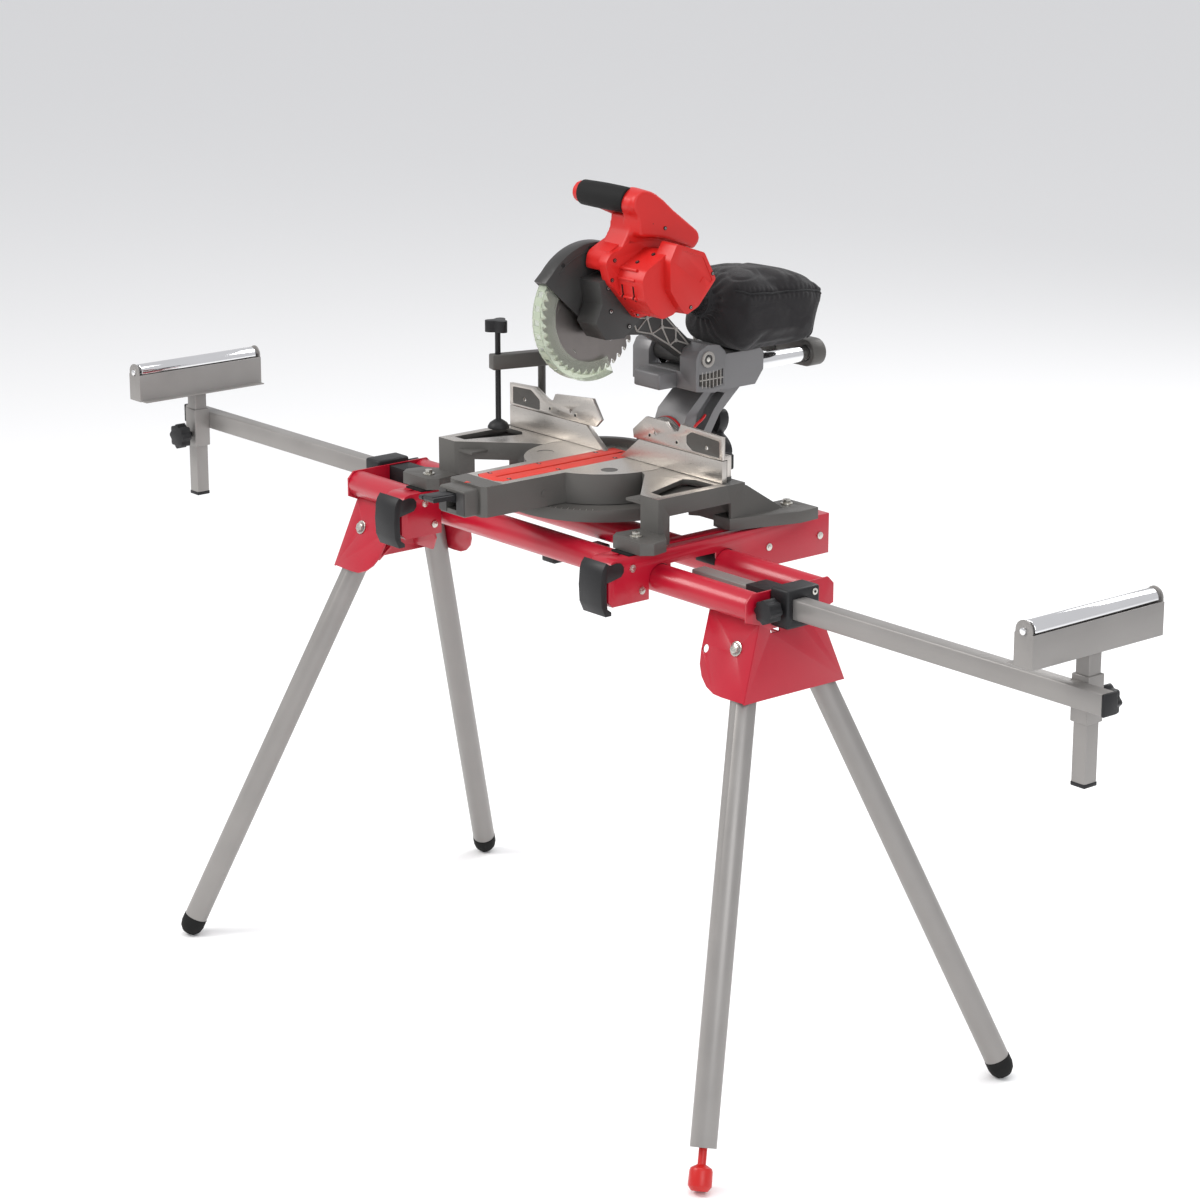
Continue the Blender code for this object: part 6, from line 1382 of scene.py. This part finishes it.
paint(bpy.data.objects["v_bevel_arm"], "arm_grey")
ba = bpy.data.objects["v_bevel_arm"]
merge(ba, plate("c", [circle(0, TABLE, 0.0425, 30), circle(0, TABLE, 0.0370, 30)], "xz", 0.1330, 0.1372, "red_ring"))
for s_ in (-1, 1):
    # a disc of painted shade round each rail where it enters the head
    merge(ba, rod("c", (s_ * 0.0400, 0.1900, 0.185), (s_ * 0.0400, 0.1935, 0.185), 0.0160, 14, "cast_dark"))
    merge(ba, rod("c", (s_ * 0.0560, 0.2400, 0.2114), (s_ * 0.0560, 0.2400, 0.2150), 0.0042, 6, "zinc"))
    cut(ba, rod("c", (s_ * 0.040, 0.15, 0.185), (s_ * 0.040, 0.30, 0.185), 0.0128, 20))
merge(ba, tube("c", [(0.0440, 0.1420, 0.0900), (0.0480, 0.1480, 0.1040), (0.0480, 0.1640, 0.1120), (0.0400, 0.1760, 0.1150)], 0.0022, "red_ring"))

# --- stand details (row frame before the last shift)
for side, sx in (("left", -1), ("right", 1)):
    by = -sx * BAR_Y
    blk = bpy.data.objects[f"v_{side}_bar_clamp_block"]
    # screws with washers, their sockets painted shade
    for dy, dz in ((0.0285, 0.0200), (0.0285, -0.0200)):
        y_ = by + sx * dy
        merge(blk, rod("c", (sx * 0.5150, y_, BEAM_Z + dz), (sx * 0.5172, y_, BEAM_Z + dz), 0.0050, 12, "zinc"), rod("c", (sx * 0.5150, y_, BEAM_Z + dz), (sx * 0.5178, y_, BEAM_Z + dz), 0.0022, 6, "slot_black"))
    bar = bpy.data.objects[f"v_{side}_extension_bar"]
    cap_ = box("c", (min(sx * 1.0900, sx * (BAR_OUT + 0.0004)), by - BAR_W / 2 - 0.0007, BEAM_Z - BAR_H / 2 - 0.0007), (max(sx * 1.0900, sx * (BAR_OUT + 0.0004)), by + BAR_W / 2 + 0.0007, BEAM_Z + BAR_H / 2 + 0.0007), "black_plastic", 0.0020)
    merge(bar, cap_)
    post_y = by + sx * (BAR_W / 2 + 0.0150)
    X = sx * SUPPORT_X
    post = bpy.data.objects[f"v_{side}_support_post"]
    merge(post, box("c", (X - POST / 2 - 0.0006, post_y - POST / 2 - 0.0006, 0.6356), (X + POST / 2 + 0.0006, post_y + POST / 2 + 0.0006, 0.6420), "black_plastic", 0.0015))
    arm = bpy.data.objects[f"v_{side}_mounting_arm"]
    assign(arm, "rubber", lambda c, n: c.z > ARM_TOP + 0.0002)
    X = sx * ARM_X
    for e in (-1, 1):
        for y_, z_ in ((-0.1180, 0.7920), (-0.1000, 0.7560), (0.1500, 0.7780), (0.2550, 0.7780)):
            merge(arm, rod("c", (X + e * 0.0215, y_, z_), (X + e * 0.0238, y_, z_), 0.0056, 12, "zinc"), rod("c", (X + e * 0.0215, y_, z_), (X + e * 0.0245, y_, z_), 0.0030, 6, "zinc"))
    # black plastic shoes where the arm sits on the tubes
    for yb in (-BEAM_Y, BEAM_Y):
        shoe = plate("c", [[(yb + 0.0221 * math.cos(a), BEAM_Z + 0.0221 * math.sin(a)) for a in [math.pi * i / 24 for i in range(25)]] + [(yb + 0.0212 * math.cos(a), BEAM_Z + 0.0212 * math.sin(a)) for a in [math.pi * (24 - i) / 24 for i in range(25)]]], "yz", X - 0.0205, X + 0.0205, "black_plastic")
        merge(arm, shoe)
    # housing: pressed slots on the end plate
    hs = bpy.data.objects[f"v_{side}_leg_housing"]
    for y_, z_ in ((-0.0300, 0.7300), (0.0300, 0.7300)):
        cut(hs, plate("c", [smooth_loop([(y_ - 0.009, z_ - 0.003), (y_ + 0.009, z_ - 0.003), (y_ + 0.009, z_ + 0.003), (y_ - 0.009, z_ + 0.003)], 0.0029, 4)], "yz", min(sx * 0.46, sx * 0.50), max(sx * 0.46, sx * 0.50)))
    for end, sy in (("front", -1), ("rear", 1)):
        m = splay_matrix(sx, sy)
        leg = bpy.data.objects[f"v_{end}_{side}_leg"]
        hd = merge(rod("c", (0, 0.0236, 0), (0, 0.0248, 0), 0.0110, 16, "zinc"), rod("c", (0, 0.0246, 0), (0, 0.0290, 0), 0.0078, 6, "zinc"), rod("c", (0, -0.0250, 0), (0, -0.0236, 0), 0.0105, 16, "zinc"))
        flip_if_needed(hd, m)
        merge(leg, hd)
        d = Vector((math.sin(LEAN), 0, -math.cos(LEAN)))
        bt = rod("c", d * 0.061 + Vector((0, 0.017, 0)), d * 0.061 + Vector((0, 0.0212, 0)), 0.0042, 12, "zinc")
        flip_if_needed(bt, m)
        merge(leg, bt)

# ================================================================ DUST BAG
# A slack cloth bag: a slightly smaller shape is swollen by a cloth simulation, then its folds, seams and piping are put on.
drop("dust_bag")
b_c = (sum(p[0] for p in bag_p) / len(bag_p), sum(p[1] for p in bag_p) / len(bag_p))
b_in = []
for y, z in bag_p:
    d = math.hypot(y - b_c[0], z - b_c[1])
    k = (d - 0.0065) / d
    b_in.append((b_c[0] + (y - b_c[0]) * k, b_c[1] + (z - b_c[1]) * k))
bag = plate("dust_bag", [smooth_loop(b_in, 0.016, 5)], "yz", -0.0290, 0.0920, "bag_cloth", 0.010)
PORT = Vector((0.030, 0.1300, 0.3020))
PDIR = Vector((0, 1, -0.16)).normalized()
neck = rod("c", PORT + PDIR * 0.0360, PORT + PDIR * 0.0720, 0.0235, 20, None, 0.0320)
merge(bag, neck)
rm = bag.modifiers.new("remesh", "REMESH")
rm.mode = "VOXEL"
rm.voxel_size = 0.0045
apply_mesh(bag)
rest = [v.co.copy() for v in bag.data.vertices]
cl = bag.modifiers.new("cloth", "CLOTH")
st = cl.settings
st.quality = 5
st.mass = 0.25
st.tension_stiffness = 12
st.compression_stiffness = 12
st.shear_stiffness = 4
st.bending_stiffness = 0.35
st.use_pressure = True
st.uniform_pressure_force = 4.0
st.effector_weights.gravity = 0.0
cl.collision_settings.use_collision = False
cl.point_cache.frame_start = 1
cl.point_cache.frame_end = 24
for fr in range(1, 21):
    bpy.context.scene.frame_set(fr)
dg = bpy.context.evaluated_depsgraph_get()
ev = bag.evaluated_get(dg).to_mesh()
moved = [v.co.copy() for v in ev.vertices]
bag.evaluated_get(dg).to_mesh_clear()
bag.modifiers.clear()
bpy.context.scene.frame_set(1)
for v, r, m_ in zip(bag.data.vertices, rest, moved):
    d = m_ - r
    # the neck stays the size of the port it is drawn over
    cap = 0.0068 if r.y > 0.184 else 0.0010
    if d.length > cap:
        d = d / d.length * cap
    v.co = r + d
sm = bag.modifiers.new("sm", "SMOOTH")
sm.iterations = 3
sm.factor = 0.5
sb = bag.modifiers.new("sub", "SUBSURF")
sb.levels = sb.render_levels = 1
apply_mesh(bag)


def seg_near(p, path):
    """Distance from p to a line through points, and how far along it."""
    best, at, run = 1e9, 0.0, 0.0
    for a, b in zip(path, path[1:]):
        ab = b - a
        t = max(0.0, min(1.0, (p - a).dot(ab) / ab.length_squared))
        q = a + ab * t
        d = (p - q).length
        if d < best:
            best, at = d, run + ab.length * t
        run += ab.length
    return best, at


SIDE = [(0.1870, 0.3160), (0.2010, 0.3140), (0.2160, 0.3080), (0.2340, 0.3072), (0.2600, 0.3040), (0.2950, 0.3035), (0.3300, 0.3010), (0.3620, 0.2970), (0.3830, 0.2900)]
REAR = [(0.3830, 0.2900), (0.3760, 0.2600), (0.3640, 0.2260), (0.3500, 0.2150)]
seams = []
for x_ in (0.0960, -0.0330):
    seams.append([Vector((x_, y, z)) for y, z in SIDE])
    seams.append([Vector((x_ - (0.006 if x_ > 0 else -0.006), y, z)) for y, z in REAR])
seams.append([Vector((x_, 0.3830, 0.2900)) for x_ in (-0.0300, 0.0000, 0.0315, 0.0600, 0.0930)])
import mathutils.bvhtree as bvh_mod
bag_tree = bvh_mod.BVHTree.FromPolygons([v.co.copy() for v in bag.data.vertices], [tuple(p.vertices) for p in bag.data.polygons])
paths = []
for sline in seams:
    fine = []
    for a, b in zip(sline, sline[1:]):
        for j in range(6):
            fine.append(a.lerp(b, j / 6))
    fine.append(sline[-1])
    on = []
    for q in fine:
        h = bag_tree.find_nearest(q)
        on.append(h[0] + h[1] * 0.0002)
    paths.append(on)
nrm = [v.normal.copy() for v in bag.data.vertices]
for v, nn in zip(bag.data.vertices, nrm):
    c = v.co.copy()
    d = 0.0
    for sline in paths[:5]:
        near, at = seg_near(c, sline)
        if near < 0.016:
            # the cloth sinks beside its seam and puckers along it
            d -= 0.0016 * math.exp(-(near / 0.0034) ** 2)
            d += 0.0006 * math.exp(-((near - 0.006) / 0.004) ** 2) * math.sin(at * 620 + 2.0 * noise.noise(c * 40))
    # long slack folds, drawn from the neck and along the top
    f = noise.noise(Vector((c.x * 9, c.y * 7, c.z * 16)))
    g = noise.noise(Vector((c.x * 22 + 5, c.y * 14, c.z * 30)))
    slack = 0.35 + 0.65 * max(0.0, min(1.0, (c.z - 0.262) / 0.06))
    d += 0.0024 * f * slack - 0.0020 * max(0.0, 1 - abs(g) * 5) * slack
    r_ = (c - (PORT + PDIR * 0.07)).length
    if r_ < 0.075:
        th = math.atan2(c.z - 0.291, c.x - 0.030)
        d += 0.0011 * math.sin(th * 17) * math.exp(-((r_ - 0.034) / 0.018) ** 2)
    if c.z < 0.2150:
        d = min(d, 0.0)
    v.co = c + nn * d
paint(bag, "bag_cloth")
for sline in paths:
    merge(bag, tube("c", sline[::2] + ([sline[-1]] if (len(sline) - 1) % 2 else []), 0.00105, "bag_piping", res=2))
ring_pts = []
side_u = Vector((1, 0, 0))
side_v = PDIR.cross(side_u).normalized()
for k_, r_ in ((0.0395, 0.0240), (0.0425, 0.0246), (0.0455, 0.0250)):
    pts_r = [PORT + PDIR * k_ + side_u * (r_ * math.cos(2 * math.pi * i / 60)) + side_v * (r_ * math.sin(2 * math.pi * i / 60)) for i in range(60)]
    merge(bag, tube("c", pts_r, 0.0017, "bag_piping", cyclic=True, res=2))
saw(bag)

# ================================================================ FINISH
for o in SAW:
    move(o, (0, SY, SZ))
for o in list(COL.objects):
    move(o, (0, OY, 0))

BODY = {}
for body, names in frame["record"]["behaviour"]["bodies"].items():
    for n in names:
        BODY[n] = body

EDGE = {"saw_base": 0.0016, "bevel_arm": 0.0012, "head_arm": 0.0014, "carriage_block": 0.0012, "upper_blade_guard": 0.0012, "motor_housing": 0.0022, "handle_housing": 0.0030,
        "turntable": 0.0008, "handle_grip": 0.0012, "dust_port": 0.0008, "left_leg_housing": 0.0010, "right_leg_housing": 0.0010,
        "left_mounting_arm": 0.0014, "right_mounting_arm": 0.0014, "left_arm_lever": 0.0012, "right_arm_lever": 0.0012}

SHARP = ("blade", "motor_housing", "handle_housing", "dust_bag", "lower_guard")

for name in sorted(BODY):
    o = bpy.data.objects.get("v_" + name)
    if o is None:
        continue
    if name not in SHARP:
        soften(o, EDGE.get(name, 0.0006), 2)
    shade(o)
    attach(o, BODY[name])
    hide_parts(name)
    s = o.data.materials[0].name.replace("look_", "")

# ---------------------------------------------------------------- floor, lights, camera
me = bpy.data.meshes.new("floor")
bm = bmesh.new()
bmesh.ops.create_grid(bm, x_segments=1, y_segments=1, size=70)
bm.to_mesh(me)
bm.free()
floor = bpy.data.objects.new("floor", me)
bpy.context.scene.collection.objects.link(floor)
fm = bpy.data.materials.new("floor")
fm.use_nodes = True
fb = fm.node_tree.nodes["Principled BSDF"]
fb.inputs["Base Color"].default_value = (0.95, 0.95, 0.948, 1)
fb.inputs["Roughness"].default_value = 0.85
me.materials.append(fm)

world = bpy.context.scene.world or bpy.data.worlds.new("world")
bpy.context.scene.world = world
world.use_nodes = True
world.node_tree.nodes["Background"].inputs["Color"].default_value = (0.97, 0.975, 1.0, 1)
world.node_tree.nodes["Background"].inputs["Strength"].default_value = 0.72


def area(name, loc, target, size, power, color=(1, 1, 1)):
    li = bpy.data.lights.new(name, "AREA")
    li.shape = "RECTANGLE"
    li.size, li.size_y = size
    li.energy = power
    li.color = color
    o = bpy.data.objects.new(name, li)
    bpy.context.scene.collection.objects.link(o)
    o.location = loc
    o.rotation_mode = "QUATERNION"
    o.rotation_quaternion = (Vector(target) - Vector(loc)).to_track_quat("-Z", "Y")
    return o


area("key", (-2.2, -3.4, 4.2), (0, 0, 0.7), (2.4, 2.4), 150, (1.0, 0.985, 0.96))
area("fill", (4.2, -1.6, 2.4), (0, 0, 0.8), (2.6, 2.6), 66, (0.96, 0.98, 1.0))
area("back", (-0.5, 4.2, 3.4), (0, 0, 0.8), (3.0, 2.0), 80)
area("top", (0.6, -0.4, 4.6), (0, 0, 0.8), (2.6, 2.0), 50)

cam_d = bpy.data.cameras.new("camera")
cam_d.lens = 99.0
cam_d.sensor_width = 36.0
cam = bpy.data.objects.new("camera", cam_d)
bpy.context.scene.collection.objects.link(cam)
AZ, EL, DIST = math.radians(50), math.radians(16), 5.1
TARGET = Vector((0.0, -0.02, 0.655))
back = Vector((math.sin(AZ) * math.cos(EL), -math.cos(AZ) * math.cos(EL), math.sin(EL)))
cam.location = TARGET + back * DIST
cam.rotation_mode = "QUATERNION"
cam.rotation_quaternion = (-back).to_track_quat("-Z", "Y")
cam_d.clip_start, cam_d.clip_end = 0.05, 250
bpy.context.scene.camera = cam
bpy.context.scene.view_settings.view_transform = "Standard"
